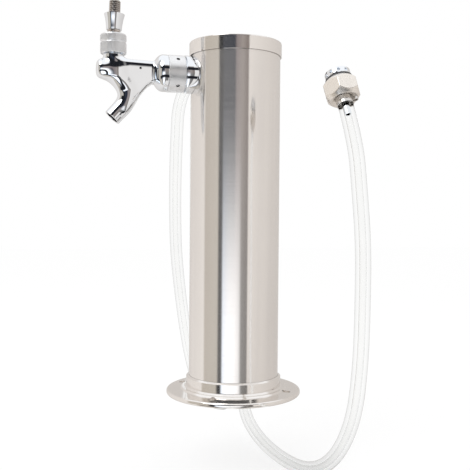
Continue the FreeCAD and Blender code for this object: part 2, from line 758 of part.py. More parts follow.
def hose_nut():
    end, aim = hose_end()
    start = NUT_START
    close = start + HEX_LONG
    floor = start + HEX_FLOOR
    body = hexagon(HEX_AF, start, close, end, aim)
    hole = TAIL_STEM_R + RUN
    room = turned(
        [(0, start - OVER), (HEX_MOUTH_R, start - OVER), (HEX_MOUTH_R, start), (hole, floor - HEX_LIP),
         (hole, floor), (HEX_THREAD_R, floor), (HEX_THREAD_R, close + OVER), (0, close + OVER)],
        end, aim)
    return body.cut(room)


def hose_washer():
    end, aim = hose_end()
    start = NUT_START + HEX_LONG + FACE_GAP
    return pipe(BLACK_RING_R, CROWN_SLEEVE_R + SEAT, start, start + BLACK_RING_THICK, end, aim)


def hose_crown():
    end, aim = hose_end()
    start = tail_flange_rear() + TAIL_FLANGE_THICK + SEAT
    ring = NUT_START + HEX_LONG + FACE_GAP
    lip = ring + BLACK_RING_THICK + SEAT
    top = lip + CROWN_LONG
    barrel = pipe(HEX_THREAD_R - RUN, CROWN_BORE_R, start, ring - SEAT, end, aim)
    head = pipe(CROWN_OUT_R, CROWN_BORE_R, lip, top, end, aim)
    sleeve = pipe(CROWN_SLEEVE_R, CROWN_BORE_R, start, top, end, aim)
    crown = barrel.fuse([head, sleeve])
    side = across(aim)
    other = aim.cross(side)
    notches = []
    for i in range(CROWN_NOTCHES):
        angle = 360 / CROWN_NOTCHES * i
        out = side * math.cos(math.radians(angle)) + other * math.sin(math.radians(angle))
        root = end + aim * (top - CROWN_NOTCH_DEEP) + out * CROWN_SLEEVE_R
        notches.append(rod(CROWN_NOTCH_WIDE / 2, root, root + out * CROWN_OUT_R))
    return crown.cut(notches)


def line_inside():
    return hose(INNER_ROUTE, "line_inside")


def beer_line():
    return hose(OUTER_ROUTE, "beer_line")


PIECES = [
    base_flange, column_tube, top_cap, cap_seal, shank, shank_collar, inner_saddle, lock_nut,
    coupling_nut, coupling_gasket, snap_ring, faucet_body, faucet_plunger, seat_washer, plunger_nut,
    ball_seat, friction_ring, bonnet, lever, lever_ferrule, elbow_gasket, elbow_nut, elbow_tail,
    inner_clamp, line_inside, beer_line, hose_clamp, hose_tailpiece, hose_nut, hose_washer, hose_crown,
]

os.makedirs("parts", exist_ok=True)
for make in PIECES:
    piece = make()
    piece.exportStep("parts/" + make.__name__ + ".step")
    print(make.__name__, len(piece.Solids), "solid,", round(piece.Volume, 1), "mm3, valid", piece.isValid())
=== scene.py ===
# %% [markdown]
# A stainless beer tower with one chromed faucet and a clear beer line. The metal
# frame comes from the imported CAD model, and every piece here is built round it in
# metres, with +Z up the column and the faucet towards -Y.

# %% Load the frame
import bpy
import bmesh
import json
import math
import numpy as np
from mathutils import Matrix, Vector


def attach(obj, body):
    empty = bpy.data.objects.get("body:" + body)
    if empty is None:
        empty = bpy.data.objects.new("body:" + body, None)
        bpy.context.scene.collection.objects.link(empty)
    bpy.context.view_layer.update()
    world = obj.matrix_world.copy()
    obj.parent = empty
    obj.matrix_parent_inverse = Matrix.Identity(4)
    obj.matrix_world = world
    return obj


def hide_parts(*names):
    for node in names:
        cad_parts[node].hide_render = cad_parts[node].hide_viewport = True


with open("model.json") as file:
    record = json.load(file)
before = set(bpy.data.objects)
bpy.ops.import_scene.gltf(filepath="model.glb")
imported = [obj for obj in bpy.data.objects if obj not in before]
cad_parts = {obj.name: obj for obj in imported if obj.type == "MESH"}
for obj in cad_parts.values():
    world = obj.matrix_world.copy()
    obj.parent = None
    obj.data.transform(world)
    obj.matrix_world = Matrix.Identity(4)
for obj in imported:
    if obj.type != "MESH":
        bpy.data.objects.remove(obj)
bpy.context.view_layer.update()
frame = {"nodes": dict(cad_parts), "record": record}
nodes = frame["nodes"]
MM = 0.001
UP = Vector((0, 0, 1))
print("pieces from the CAD model:", len(nodes))

# %% [markdown]
# The photograph was taken from about the middle of the column's height, 0.63 m
# from its axis. The lens, the height and the tilt were found together from the
# column's edges, the cap, the flange, its screw holes and the faucet.

# %% Camera
CAMERA_AWAY = 0.6286
CAMERA_Z = 0.152
CAMERA_TURN = math.radians(-16.0)   # from +X, seen from above
CAMERA_ASIDE = math.radians(-0.06)   # how far it looks past the column's axis
CAMERA_DOWN = math.radians(1.54)
CAMERA_ROLL = math.radians(0.42)
SENSOR_WIDTH, LENS = 36, 56.27

toward = Vector((math.cos(CAMERA_TURN), math.sin(CAMERA_TURN), 0))
eye = toward * CAMERA_AWAY + UP * CAMERA_Z
look = -toward * math.cos(CAMERA_DOWN) - UP * math.sin(CAMERA_DOWN)
turn = look.to_track_quat("-Z", "Y").to_matrix().to_4x4() @ Matrix.Rotation(CAMERA_ROLL, 4, "Z")
aside = Matrix.Rotation(CAMERA_ASIDE, 4, "Z")
camera = bpy.data.objects.new("camera", bpy.data.cameras.new("camera"))
camera.matrix_world = Matrix.Translation(eye) @ aside @ turn
camera.data.sensor_width = SENSOR_WIDTH
camera.data.lens = LENS
bpy.context.scene.collection.objects.link(camera)
bpy.context.scene.camera = camera
bpy.context.scene.view_settings.view_transform = "Standard"
print("camera at", [round(v, 3) for v in eye])

# %% [markdown]
# The beer line is one smooth hose, clear and rather stiff. Its control points are
# the corners of its route, listed one by one. It climbs behind the column and
# comes down again. The column hides that climb, so its place there was chosen.

# %% Route of the beer line
HOSE_R = 5.55 * MM
HOSE_BORE_R = 2.4 * MM
ROUTE = [
    (-0.001, 0.010, 0.048), (-0.001, 0.010, 0.018), (-0.014, 0.007, -0.007),
    (-0.037, 0.001, -0.021), (-0.065, -0.006, -0.022), (-0.090, -0.012, -0.008),
    (-0.105, -0.016, 0.018), (-0.107, -0.021, 0.049), (-0.099, -0.027, 0.083),
    (-0.086, -0.033, 0.115), (-0.072, -0.037, 0.147), (-0.058, -0.040, 0.180),
    (-0.044, -0.042, 0.214), (-0.039, -0.041, 0.257), (-0.055, -0.016, 0.289),
    (-0.080, 0.019, 0.289), (-0.097, 0.044, 0.258), (-0.098, 0.045, 0.217),
    (-0.097, 0.043, 0.177), (-0.097, 0.045, 0.137), (-0.097, 0.043, 0.098),
    (-0.099, 0.043, 0.060), (-0.100, 0.041, 0.022), (-0.086, 0.034, -0.012),
    (-0.056, 0.027, -0.035), (-0.020, 0.030, -0.049), (0.023, 0.038, -0.055),
    (0.068, 0.044, -0.050), (0.107, 0.048, -0.029), (0.130, 0.052, 0.006),
    (0.136, 0.054, 0.048), (0.136, 0.055, 0.090), (0.136, 0.055, 0.132),
    (0.135, 0.052, 0.171), (0.132, 0.050, 0.204), (0.1164, 0.0477, 0.2367),
]
INSIDE = [(0, 0.008, 0.251), (0, 0.008, 0.190), (-0.001, 0.010, 0.118), (-0.001, 0.010, 0.048)]
print("beer line: control points", len(ROUTE))

# %% [markdown]
# A NURBS spline of order 3 turns inside each corner of the route the way a stiff
# vinyl hose bends. Blender works the curve out, and only its points are kept.

# %% Smooth path along a route
CURVE_STEPS = 14


def spline_points(name, points):
    """The points along a NURBS spline with these control points."""
    data = bpy.data.curves.new(name, "CURVE")
    data.dimensions = "3D"
    data.resolution_u = CURVE_STEPS
    spline = data.splines.new("NURBS")
    spline.points.add(len(points) - 1)
    for place, point in zip(spline.points, points):
        place.co = (*point, 1)
    spline.order_u = 3
    spline.use_endpoint_u = True
    curve = bpy.data.objects.new(name, data)
    bpy.context.scene.collection.objects.link(curve)
    bpy.context.view_layer.update()
    mesh = bpy.data.meshes.new_from_object(curve)
    found = [v.co.copy() for v in mesh.vertices]
    bpy.data.objects.remove(curve)
    return found


line_path = spline_points("line_path", ROUTE)
inside_path = spline_points("inside_path", INSIDE)
print("beer line", round(sum((b - a).length for a, b in zip(line_path, line_path[1:])), 3), "m")

# %% [markdown]
# A finish is a node tree round one shader. All of them start the same way, so one
# helper makes the material with its plain values, and another feeds a socket with
# what it is given: a number, a colour or another node's output.

# %% A finish and its sockets
def finish(name, colour, metallic, roughness, **sockets):
    """A new material with plain values, its node tree and its shader."""
    material = bpy.data.materials.new(name)
    material.use_nodes = True
    tree = material.node_tree
    shader = tree.nodes["Principled BSDF"]
    shader.inputs["Base Color"].default_value = (*colour, 1)
    shader.inputs["Metallic"].default_value = metallic
    shader.inputs["Roughness"].default_value = roughness
    for socket, value in sockets.items():
        shader.inputs[socket.replace("_", " ")].default_value = value
    return material, tree, shader


def feed(tree, socket, value):
    """Links an output to a socket, or sets the socket to a number or a colour."""
    if isinstance(value, bpy.types.NodeSocket):
        tree.links.new(value, socket)
    elif isinstance(value, tuple):
        socket.default_value = (*value, 1)
    else:
        socket.default_value = value


print("a finish is fed through its sockets")

# %% [markdown]
# No real surface is even. Noise in the object's own coordinates breaks each finish
# up. Squeezed along an axis it becomes grain, and mapped between two limits it
# becomes uneven polish, a colour that wanders, or a small relief.

# %% Noise and what it drives
def noise(tree, scale, detail=4.0, stretch=(1, 1, 1)):
    """Noise in the object's own coordinates, squeezed along its axes."""
    place = tree.nodes.new("ShaderNodeTexCoord")
    mapping = tree.nodes.new("ShaderNodeMapping")
    mapping.inputs["Scale"].default_value = stretch
    texture = tree.nodes.new("ShaderNodeTexNoise")
    texture.inputs["Scale"].default_value = scale
    texture.inputs["Detail"].default_value = detail
    tree.links.new(place.outputs["Object"], mapping.inputs["Vector"])
    tree.links.new(mapping.outputs["Vector"], texture.inputs["Vector"])
    return texture.outputs["Fac"]


def spread(tree, factor, low, high):
    """Turns the middle of a noise's range into values between two limits."""
    node = tree.nodes.new("ShaderNodeMapRange")
    node.inputs["From Min"].default_value = 0.3
    node.inputs["From Max"].default_value = 0.7
    node.inputs["To Min"].default_value = low
    node.inputs["To Max"].default_value = high
    tree.links.new(factor, node.inputs["Value"])
    return node.outputs["Result"]


def uneven_polish(tree, shader, pattern, low, high):
    """Roughness that wanders between two values."""
    feed(tree, shader.inputs["Roughness"], spread(tree, pattern, low, high))


def mixed(tree, factor, one, two, kind="MIX"):
    """Two colours mixed by a factor. Each is a plain colour or another node's."""
    node = tree.nodes.new("ShaderNodeMix")
    node.data_type = "RGBA"
    node.blend_type = kind
    for socket, value in (("Factor", factor), ("A", one), ("B", two)):
        feed(tree, node.inputs[socket], value)
    return node.outputs["Result"]


def coloured(tree, shader, colour):
    feed(tree, shader.inputs["Base Color"], colour)


def relief(tree, shader, height, strength, distance):
    """Small bumps that bend the reflections and leave the mesh alone."""
    node = tree.nodes.new("ShaderNodeBump")
    node.inputs["Strength"].default_value = strength
    node.inputs["Distance"].default_value = distance
    tree.links.new(height, node.inputs["Height"])
    tree.links.new(node.outputs["Normal"], shader.inputs["Normal"])


print("patterns ready: uneven polish, mixed colours, relief")

# %% [markdown]
# Light hardly reaches the bottom of a narrow gap, so some finishes get painted shade there. Ambient
# Occlusion measures how closed in a point is, and the colour darkens with it.

# %% Painted shade in hollows
PAINTED_HOLLOW_SHADE = (0.03, 0.028, 0.026)


def painted_hollow_shade(tree, colour, reach, alone=True):
    """The colour, with painted shade where a point is closed in, by its own piece alone or by any."""
    closed = tree.nodes.new("ShaderNodeAmbientOcclusion")
    closed.only_local = alone
    closed.samples = 8
    closed.inputs["Distance"].default_value = reach
    return mixed(tree, spread(tree, closed.outputs["AO"], 0.0, 1.0), PAINTED_HOLLOW_SHADE, colour)


print("hollows darken to", PAINTED_HOLLOW_SHADE)

# %% [markdown]
# The column is polished tube. Polishing it as it turns leaves fine lines round it,
# which smear reflections up and down but keep their sides sharp. So the roughness is
# stronger along the column, and the grain is noise squeezed hard along Z. Handling
# leaves faint streaks up and down it, which are noise drawn out along Z.

# %% Polished steel
polished, tree, shader = finish(
    "polished_steel", (0.83, 0.80, 0.77), 0.85, 0.13, Anisotropic=0.55, Anisotropic_Rotation=0.25)
around = tree.nodes.new("ShaderNodeTangent")
around.direction_type = "RADIAL"
around.axis = "Z"
feed(tree, shader.inputs["Tangent"], around.outputs["Tangent"])
uneven_polish(tree, shader, noise(tree, 22, 6, (1, 1, 70)), 0.065, 0.15)
mottled = mixed(tree, noise(tree, 14, 3, (1, 1, 0.5)), (0.775, 0.74, 0.71), (0.88, 0.855, 0.825))
streaks = mixed(tree, noise(tree, 120, 4, (1, 1, 0.02)), (0.90, 0.90, 0.91), (1.02, 1.02, 1.02))
streaked = mixed(tree, 1.0, mottled, streaks, "MULTIPLY")
# Painted shade darkens the colour where any piece closes the column in, such as under the cap's skirt.
coloured(tree, shader, painted_hollow_shade(tree, streaked, 0.0025, alone=False))
relief(tree, shader, noise(tree, 30, 5, (1, 1, 90)), 0.06, 0.0002)
print("polished steel: nodes", len(tree.nodes))

# %% [markdown]
# The flange and the cap are spun over a former and buffed last, so they are clearer
# mirrors than the column. The buffing wheel leaves faint rings in them.

# %% Buffed steel
buffed, tree, shader = finish("buffed_steel", (0.84, 0.815, 0.79), 0.95, 0.08)
uneven_polish(tree, shader, noise(tree, 40, 4), 0.05, 0.11)
mottled = mixed(tree, noise(tree, 18, 3), (0.81, 0.785, 0.76), (0.87, 0.845, 0.82))
# Painted shade darkens the colour where any piece closes the flange or the cap in.
coloured(tree, shader, painted_hollow_shade(tree, mottled, 0.0025, alone=False))
relief(tree, shader, noise(tree, 26, 2, (1, 1, 6)), 0.08, 0.0006)
print("buffed steel: nodes", len(tree.nodes))

# %% [markdown]
# Chrome plate is a mirror with a cold tint. The castings under it are never quite
# flat, so a very low noise bends the reflections a little, and wiping leaves it
# less clear in places.

# %% Chrome plate
chrome, tree, shader = finish("chrome_plate", (0.86, 0.89, 0.925), 1.0, 0.03)
uneven_polish(tree, shader, noise(tree, 90, 3), 0.015, 0.05)
coloured(tree, shader, mixed(tree, noise(tree, 40, 2), (0.84, 0.87, 0.905), (0.88, 0.91, 0.945)))
relief(tree, shader, noise(tree, 60, 1), 0.05, 0.001)
print("chrome plate: nodes", len(tree.nodes))

# %% [markdown]
# The coupling nut and the bonnet are nickel plated and only tumbled, so they are
# softer mirrors than the chrome. Painted shade darkens their colour in holes and between ribs.

# %% Satin nickel
satin, tree, shader = finish("satin_nickel", (0.82, 0.835, 0.85), 0.8, 0.36)
uneven_polish(tree, shader, noise(tree, 160, 3), 0.28, 0.42)
plate = mixed(tree, noise(tree, 70, 2), (0.80, 0.81, 0.825), (0.86, 0.865, 0.875))
# Painted shade darkens the colour in the piece's own holes and between its ribs.
coloured(tree, shader, painted_hollow_shade(tree, plate, 0.004))
relief(tree, shader, noise(tree, 300, 2), 0.01, 0.00005)
print("satin nickel: nodes", len(tree.nodes))

# %% [markdown]
# The hex coupler nut has the same plating, but thinner, and the brass under it warms
# its colour. It is also a little clearer, so it has a finish of its own.

# %% Warm nickel
warm, tree, shader = finish("warm_nickel", (0.86, 0.82, 0.77), 0.9, 0.3)
uneven_polish(tree, shader, noise(tree, 160, 3), 0.22, 0.36)
coloured(tree, shader, mixed(tree, noise(tree, 110, 3), (0.78, 0.735, 0.68), (0.90, 0.86, 0.81)))
relief(tree, shader, noise(tree, 300, 2), 0.02, 0.00005)
print("warm nickel: nodes", len(tree.nodes))

# %% [markdown]
# The lever's stud is plain machined steel. Painted shade darkens the roots of its
# thread. The thread's mesh carries an attribute that is high in its roots, and
# the colour follows it to a dark brown.

# %% Machined steel
stud, tree, shader = finish("stud_steel", (0.60, 0.54, 0.49), 1.0, 0.22)
uneven_polish(tree, shader, noise(tree, 200, 2), 0.17, 0.27)
root_shade = tree.nodes.new("ShaderNodeAttribute")
root_shade.attribute_name = "root_shade"
unshaded_stud = mixed(tree, noise(tree, 250, 2), (0.60, 0.55, 0.51), (0.74, 0.69, 0.65))
# Painted shade: the colour goes dark brown in the thread's roots.
coloured(tree, shader, mixed(tree, root_shade.outputs["Fac"], unshaded_stud, (0.10, 0.085, 0.075)))
print("machined steel: nodes", len(tree.nodes))

# %% [markdown]
# The ear clamps are pressed from bright spring strip, which is left as it was rolled.

# %% Clamp steel
band, tree, shader = finish("clamp_steel", (0.66, 0.64, 0.62), 1.0, 0.16)
uneven_polish(tree, shader, noise(tree, 300), 0.12, 0.22)
coloured(tree, shader, mixed(tree, noise(tree, 180, 2), (0.58, 0.56, 0.54), (0.74, 0.72, 0.70)))
print("clamp steel: nodes", len(tree.nodes))

# %% [markdown]
# Rubber and moulded plastic don't shine like metal. Each gets a fine relief, and
# the rubber a dusty tint in places.

# %% Rubber and plastic
rubber, tree, shader = finish("black_rubber", (0.035, 0.035, 0.04), 0.0, 0.5)
coloured(tree, shader, mixed(tree, noise(tree, 200, 3), (0.025, 0.025, 0.028), (0.06, 0.06, 0.065)))
relief(tree, shader, noise(tree, 900), 0.2, 0.0001)
print("black rubber: nodes", len(tree.nodes))

plastic, tree, shader = finish("white_plastic", (0.85, 0.85, 0.83), 0.0, 0.4)
uneven_polish(tree, shader, noise(tree, 120, 3), 0.34, 0.5)
coloured(tree, shader, mixed(tree, noise(tree, 90, 2), (0.82, 0.82, 0.79), (0.88, 0.88, 0.86)))
relief(tree, shader, noise(tree, 500), 0.1, 0.0001)
print("white plastic: nodes", len(tree.nodes))

# %% [markdown]
# Clear vinyl bends light only a little where its wall is looked at squarely. Towards
# its edges, where the eye looks along the wall, it gets painted shade: Layer
# Weight gives that angle, and the colour that the wall lets through follows it to pale grey.

# %% Clear vinyl
PAINTED_EDGE_GREY = (0.42, 0.425, 0.42)
EDGE_POWER = 2.2


def maths(tree, kind, *values):
    """One sum on numbers or on other nodes' outputs."""
    node = tree.nodes.new("ShaderNodeMath")
    node.operation = kind
    for socket, value in zip(node.inputs, values):
        feed(tree, socket, value)
    return node.outputs[0]


vinyl, tree, shader = finish(
    "clear_vinyl", (0.97, 0.975, 0.97), 0.0, 0.02, Transmission_Weight=1.0, IOR=1.1)
edge = tree.nodes.new("ShaderNodeLayerWeight")
edge.inputs["Blend"].default_value = 0.5
steep = maths(tree, "POWER", edge.outputs["Facing"], EDGE_POWER)
haze = mixed(tree, noise(tree, 60, 3), (0.955, 0.955, 0.95), (0.99, 0.99, 0.985))
# Painted shade: the colour turns grey towards the hose's edges as the wall is seen more edge-on.
coloured(tree, shader, mixed(tree, steep, haze, PAINTED_EDGE_GREY))
uneven_polish(tree, shader, noise(tree, 90, 3), 0.0, 0.03)
print("clear vinyl: nodes", len(tree.nodes))

# %% [markdown]
# Every CAD piece first gets the finish of its slot. The pieces made below replace
# some of them.

# %% Finishes on the CAD pieces
SLOTS = {
    "polished_steel": polished, "chrome_plate": chrome, "satin_nickel": satin, "stud_steel": stud,
    "clamp_steel": band, "black_rubber": rubber, "white_plastic": plastic, "clear_vinyl": vinyl,
}
for part in frame["record"]["subparts"]:
    node = nodes[part["node"]]
    node.data.materials.clear()
    node.data.materials.append(SLOTS[part["material_slot"]])
for name in ("base_flange", "top_cap"):
    nodes[name].data.materials[0] = buffed

# %% [markdown]
# Each piece that is made from here on rides on one of the moving bodies and wears
# the finish of one of the record's slots. Pieces that are built corner by
# corner are smoothed, except over edges that turn by more than an angle.

# %% A new piece
def add(name, mesh, body, slot):
    """Puts a mesh in the scene, on its body, with its finish."""
    piece = bpy.data.objects.new(name, mesh)
    bpy.context.scene.collection.objects.link(piece)
    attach(piece, body)
    mesh.materials.clear()
    mesh.materials.append(SLOTS[slot])
    return piece


def finished(name, mesh, angle=34):
    """A bmesh as a smooth mesh that keeps its sharp edges."""
    for face in mesh.faces:
        face.smooth = True
    data = bpy.data.meshes.new(name)
    mesh.to_mesh(data)
    mesh.free()
    data.set_sharp_from_angle(angle=math.radians(angle))
    return data


# %% [markdown]
# A clear hose is a tube with a thick wall, so it has two skins: the outside and
# the bore. Rings of points are carried along the path without twisting, and the
# two skins are joined at each cut end.

# %% Clear hose
HOSE_SIDES = 56


def carried_rings(mesh, path, radii):
    """Rings of corners round each point of a path, carried along it without a twist."""
    along = (path[1] - path[0]).normalized()
    side = along.orthogonal().normalized()
    angles = [2 * math.pi * k / HOSE_SIDES for k in range(HOSE_SIDES)]
    rings = []
    for i, point in enumerate(path):
        ahead = path[min(i + 1, len(path) - 1)]
        behind = path[max(i - 1, 0)]
        turned_to = (ahead - behind).normalized()
        side = along.rotation_difference(turned_to) @ side
        along = turned_to
        other = along.cross(side)
        spokes = [side * math.cos(angle) + other * math.sin(angle) for angle in angles]
        rings.append([[mesh.verts.new(point + spoke * radius) for spoke in spokes] for radius in radii])
    return rings


def hose_mesh(name, path, outer, bore):
    """A hose with a real bore, closed at each cut end."""
    mesh = bmesh.new()
    rings = carried_rings(mesh, path, (outer, bore))
    after = [(k + 1) % HOSE_SIDES for k in range(HOSE_SIDES)]
    for one, two in zip(rings, rings[1:]):
        for k, n in enumerate(after):
            mesh.faces.new((one[0][k], one[0][n], two[0][n], two[0][k]))
            mesh.faces.new((one[1][n], one[1][k], two[1][k], two[1][n]))
    for (outside, inside), flip in ((rings[0], False), (rings[-1], True)):
        for k, n in enumerate(after):
            quad = (outside[n], outside[k], inside[k], inside[n])
            mesh.faces.new(quad[::-1] if flip else quad)
    return finished(name, mesh, 40)


line_mesh = hose_mesh("clear_beer_line", line_path, HOSE_R, HOSE_BORE_R)
beer_line = add("clear_beer_line", line_mesh, "tower", "clear_vinyl")
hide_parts("beer_line")
inside_mesh = hose_mesh("clear_line_inside", inside_path, HOSE_R, HOSE_BORE_R)
line_inside = add("clear_line_inside", inside_mesh, "tower", "clear_vinyl")
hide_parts("line_inside")
print("faces of the hose in the open:", len(beer_line.data.polygons))
print("faces of the hose in the column:", len(line_inside.data.polygons))

# %% [markdown]
# The faucet body is one casting: a round shoulder, an arm with soft sides, an
# upright head with a nose, and a spout that hangs from it on a web. Real casting
# patterns have no hard inner corners, because molten brass tears there. So the
# body is made from a distance field. Each form says how far a point is from its
# surface, and a soft minimum joins two forms with a fillet of a chosen size.

# %% Distance fields
def soft_join(one, two, fillet):
    """Both forms together, with a fillet of about this size between them."""
    share = np.clip(0.5 + 0.5 * (two - one) / fillet, 0, 1)
    return two + (one - two) * share - fillet * share * (1 - share)


def both_hold(one, two, edge):
    """Where two limits hold at once, with a round edge where they meet."""
    one, two = one + edge, two + edge
    return np.hypot(np.maximum(one, 0), np.maximum(two, 0)) + np.minimum(np.maximum(one, two), 0) - edge


def round_bar(across, along, radius, start, end, edge=0.0):
    """A bar of a radius between two distances along its axis, with rounded ends."""
    beyond = np.abs(along - (start + end) / 2) - (end - start) / 2
    return both_hold(across - radius, beyond, edge)


def to_line(far, high, points):
    """Distance to a line of short runs in the faucet's own plane."""
    best = None
    for (a, b), (c, d) in zip(points, points[1:]):
        long = (c - a) ** 2 + (d - b) ** 2
        share = np.clip(((far - a) * (c - a) + (high - b) * (d - b)) / long, 0, 1)
        gap = np.hypot(far - a - share * (c - a), high - b - share * (d - b))
        best = gap if best is None else np.minimum(best, gap)
    return best


def to_outline(far, high, points):
    """Distance to a closed outline, less than zero inside it."""
    ring = points + points[:1]
    inside = np.zeros(np.broadcast(far, high).shape, bool)
    for (a, b), (c, d) in zip(ring, ring[1:]):
        if b != d:
            crosses = (high < b) != (high < d)
            inside ^= crosses & (far < a + (high - b) * (c - a) / (d - b))
    gap = to_line(far, high, ring)
    return np.where(inside, -gap, gap)


print("a 5 mm fillet fills a corner by", -soft_join(0.0, 0.0, 5.0), "mm")

# %% [markdown]
# The spout's middle is drawn as a few corners, like a bent tube on a drawing. Each
# corner becomes a short curve from the middle of one run to the middle of the next.

# %% Smooth bends
def bend_through(corners, steps=8):
    """A smooth line that turns inside each corner."""
    middles = [((a + c) / 2, (b + d) / 2) for (a, b), (c, d) in zip(corners, corners[1:])]
    line = [corners[0]]
    for corner, one, two in zip(corners[1:-1], middles, middles[1:]):
        for i in range(1, steps + 1):
            t = i / steps
            pulls = ((1 - t) ** 2, 2 * t * (1 - t), t * t)
            trio = zip(one, corner, two)
            line.append(tuple(pulls[0] * p + pulls[1] * q + pulls[2] * r for p, q, r in trio))
    return line + [corners[-1]]


print("a bend of three corners has", len(bend_through([(0, 0), (1, 0), (1, 1)])), "points")

# %% [markdown]
# The surface is where the field is zero. A grid of samples finds the cells that it
# crosses. Each such cell gets one corner of the mesh, at the middle of the places
# where the surface crosses its edges.

# %% Corners from a grid
def crossed_cells(inside):
    """The cells that the surface crosses, and each one's number in the grid."""
    size = inside.shape
    offsets = [(i, j, k) for i in (0, 1) for j in (0, 1) for k in (0, 1)]
    count = sum(
        inside[i:size[0] - 1 + i, j:size[1] - 1 + j, k:size[2] - 1 + k].astype(int) for i, j, k in offsets)
    crossed = (count > 0) & (count < len(offsets))
    cells = np.argwhere(crossed)
    number = np.full(crossed.shape, -1)
    number[crossed] = np.arange(len(cells))
    return cells, number


def middle_of_crossings(values, cells):
    """The middle of the places where the surface crosses each cell's twelve edges."""
    total = np.zeros((len(cells), 3))
    hits = np.zeros(len(cells))
    for axis in range(3):
        u, v = (axis + 1) % 3, (axis + 2) % 3
        for i, j in ((0, 0), (0, 1), (1, 0), (1, 1)):
            start = np.zeros(3, int)
            start[u], start[v] = i, j
            end = start.copy()
            end[axis] = 1
            a, b = values[tuple((cells + start).T)], values[tuple((cells + end).T)]
            crossed = (a < 0) != (b < 0)
            share = np.where(crossed, a / np.where(crossed, a - b, 1), 0)
            total += np.where(crossed[:, None], start + (end - start) * share[:, None], 0)
            hits += crossed
    return total / hits[:, None]


small_ball = np.linalg.norm(np.stack(np.meshgrid(*[np.arange(-4, 5)] * 3)), axis=0) < 3
print("cells that a small ball crosses:", len(crossed_cells(small_ball)[0]))

# %% [markdown]
# Each grid line that the surface crosses gets one face, between the four cells that
# lie round it. The face is turned to look out of the form.

# %% Faces from a grid
def faces_along(inside, number, axis):
    """One face for each line of the grid along an axis that the surface crosses."""
    size = inside.shape
    u, v = (axis + 1) % 3, (axis + 2) % 3
    first = np.take(inside, range(size[axis] - 1), axis)
    second = np.take(inside, range(1, size[axis]), axis)
    spots = np.argwhere(first != second)
    for across in (u, v):
        spots = spots[(spots[:, across] > 0) & (spots[:, across] < size[across] - 1)]
    ring = []
    for i, j in ((1, 1), (0, 1), (0, 0), (1, 0)):
        cell = spots.copy()
        cell[:, u] -= i
        cell[:, v] -= j
        ring.append(number[tuple(cell.T)])
    ring = np.stack(ring, 1)
    leaving = inside[tuple(spots.T)]
    ring[~leaving] = ring[~leaving][:, ::-1]
    return ring


print("faces of the small ball along X:", len(faces_along(small_ball, crossed_cells(small_ball)[1], 0)))

# %% [markdown]
# The corners are then slid along the field's slope on to the surface itself, and the
# slope is also the exact direction that the metal faces there. That matters for
# chrome, which shows every ripple in its reflections.

# %% Surface of a field
def field_slope(field, corners, reach=0.05):
    slope = np.zeros(corners.shape)
    for axis in range(3):
        ahead, behind = corners.copy(), corners.copy()
        ahead[:, axis] += reach
        behind[:, axis] -= reach
        slope[:, axis] = (field(*ahead.T) - field(*behind.T)) / (2 * reach)
    return slope


def field_surface(field, low, high, step):
    """Corners, faces and directions of the surface of a field, in millimetres."""
    lines = [np.arange(a, b, step) for a, b in zip(low, high)]
    values = np.broadcast_to(field(*np.ix_(*lines)), tuple(len(line) for line in lines))
    inside = values < 0
    cells, number = crossed_cells(inside)
    faces = [faces_along(inside, number, axis) for axis in range(3)]
    corners = (cells + middle_of_crossings(values, cells)) * step + np.array(low)
    for _ in range(4):
        value, slope = field(*corners.T), field_slope(field, corners)
        move = value[:, None] * slope / np.maximum((slope ** 2).sum(1), 0.2)[:, None]
        corners = corners - np.clip(move, -step / 2, step / 2)
    slope = field_slope(field, corners)
    return corners, np.concatenate(faces), slope / np.linalg.norm(slope, axis=1)[:, None]


def field_mesh(name, field, low, high, step):
    """The surface of a field as a smooth mesh, in metres."""
    corners, faces, facing = field_surface(field, low, high, step)
    mesh = bpy.data.meshes.new(name)
    mesh.from_pydata(corners * MM, [], faces.tolist())
    mesh.polygons.foreach_set("use_smooth", [True] * len(mesh.polygons))
    mesh.normals_split_custom_set_from_vertices(facing)
    print(name, "corners:", len(corners), "faces:", len(faces))
    return mesh


# %% [markdown]
# All the faucet's sizes are in millimetres here: far is the distance in front of
# the column's axis, and high is the height over the flange's underside. The spout's
# last run gives the plane of its mouth.

# %% Faucet's sizes
SHANK_Z = 269.0
HEAD_FAR = 103.2
SHOULDER_R, SHOULDER_BACK, SHOULDER_FACE, SHOULDER_DEEP = 15.1, 59.43, 62.6, 9.0
TAIL_R, TAIL_END = 10.9, 54.76
ARM_HALF, ARM_WIDENS, ARM_EDGE = 4.7, 0.115, 3.4
HEAD_R, HEAD_FOOT, HEAD_TOP = 8.2, 263.0, 282.0
CROWN_R, CROWN_FOOT, CROWN_TOP = 9.15, 282.05, 290.0
NOSE_R, NOSE_Z, NOSE_BACK, NOSE_FRONT = 7.4, 269.8, 95.0, 116.4
SPOUT_R, SPOUT_BORE_R = 7.1, 5.5
NOSE_FILLET, ARM_FILLET, SHOULDER_FILLET = 2.0, 5.0, 1.6
VENT_R, VENT_FAR, VENT_Z = 0.8, 82.0, 271.0
SPOUT_CORNERS = [(108.0, 269.5), (99.0, 263.0), (92.0, 252.5), (93.4, 242.5), (104.1, 230.5)]
ARM_OUTLINE = [
    (66.5, 278.2), (103.2, 278.2), (103.2, 261.8), (92.0, 252.5), (95.4, 239.5), (94.9, 234.2),
    (91.2, 236.9), (86.9, 242.3), (82.8, 247.7), (79.2, 252.3), (75.6, 256.4), (71.8, 259.2),
    (69.0, 259.8), (66.5, 259.8),
]
spout_line = bend_through(SPOUT_CORNERS)
run = np.subtract(SPOUT_CORNERS[-1], SPOUT_CORNERS[-2])
spout_aim = run / np.hypot(*run)
print("spout leans forward by", round(math.degrees(math.atan2(spout_aim[0], -spout_aim[1]))), "degrees")

# %% [markdown]
# Each form of the casting is one short function. The shoulder is a short barrel with
# a domed front, and its tail seats in the coupling nut. The arm is an outline between
# two soft sides, thinner towards its top and its foot.

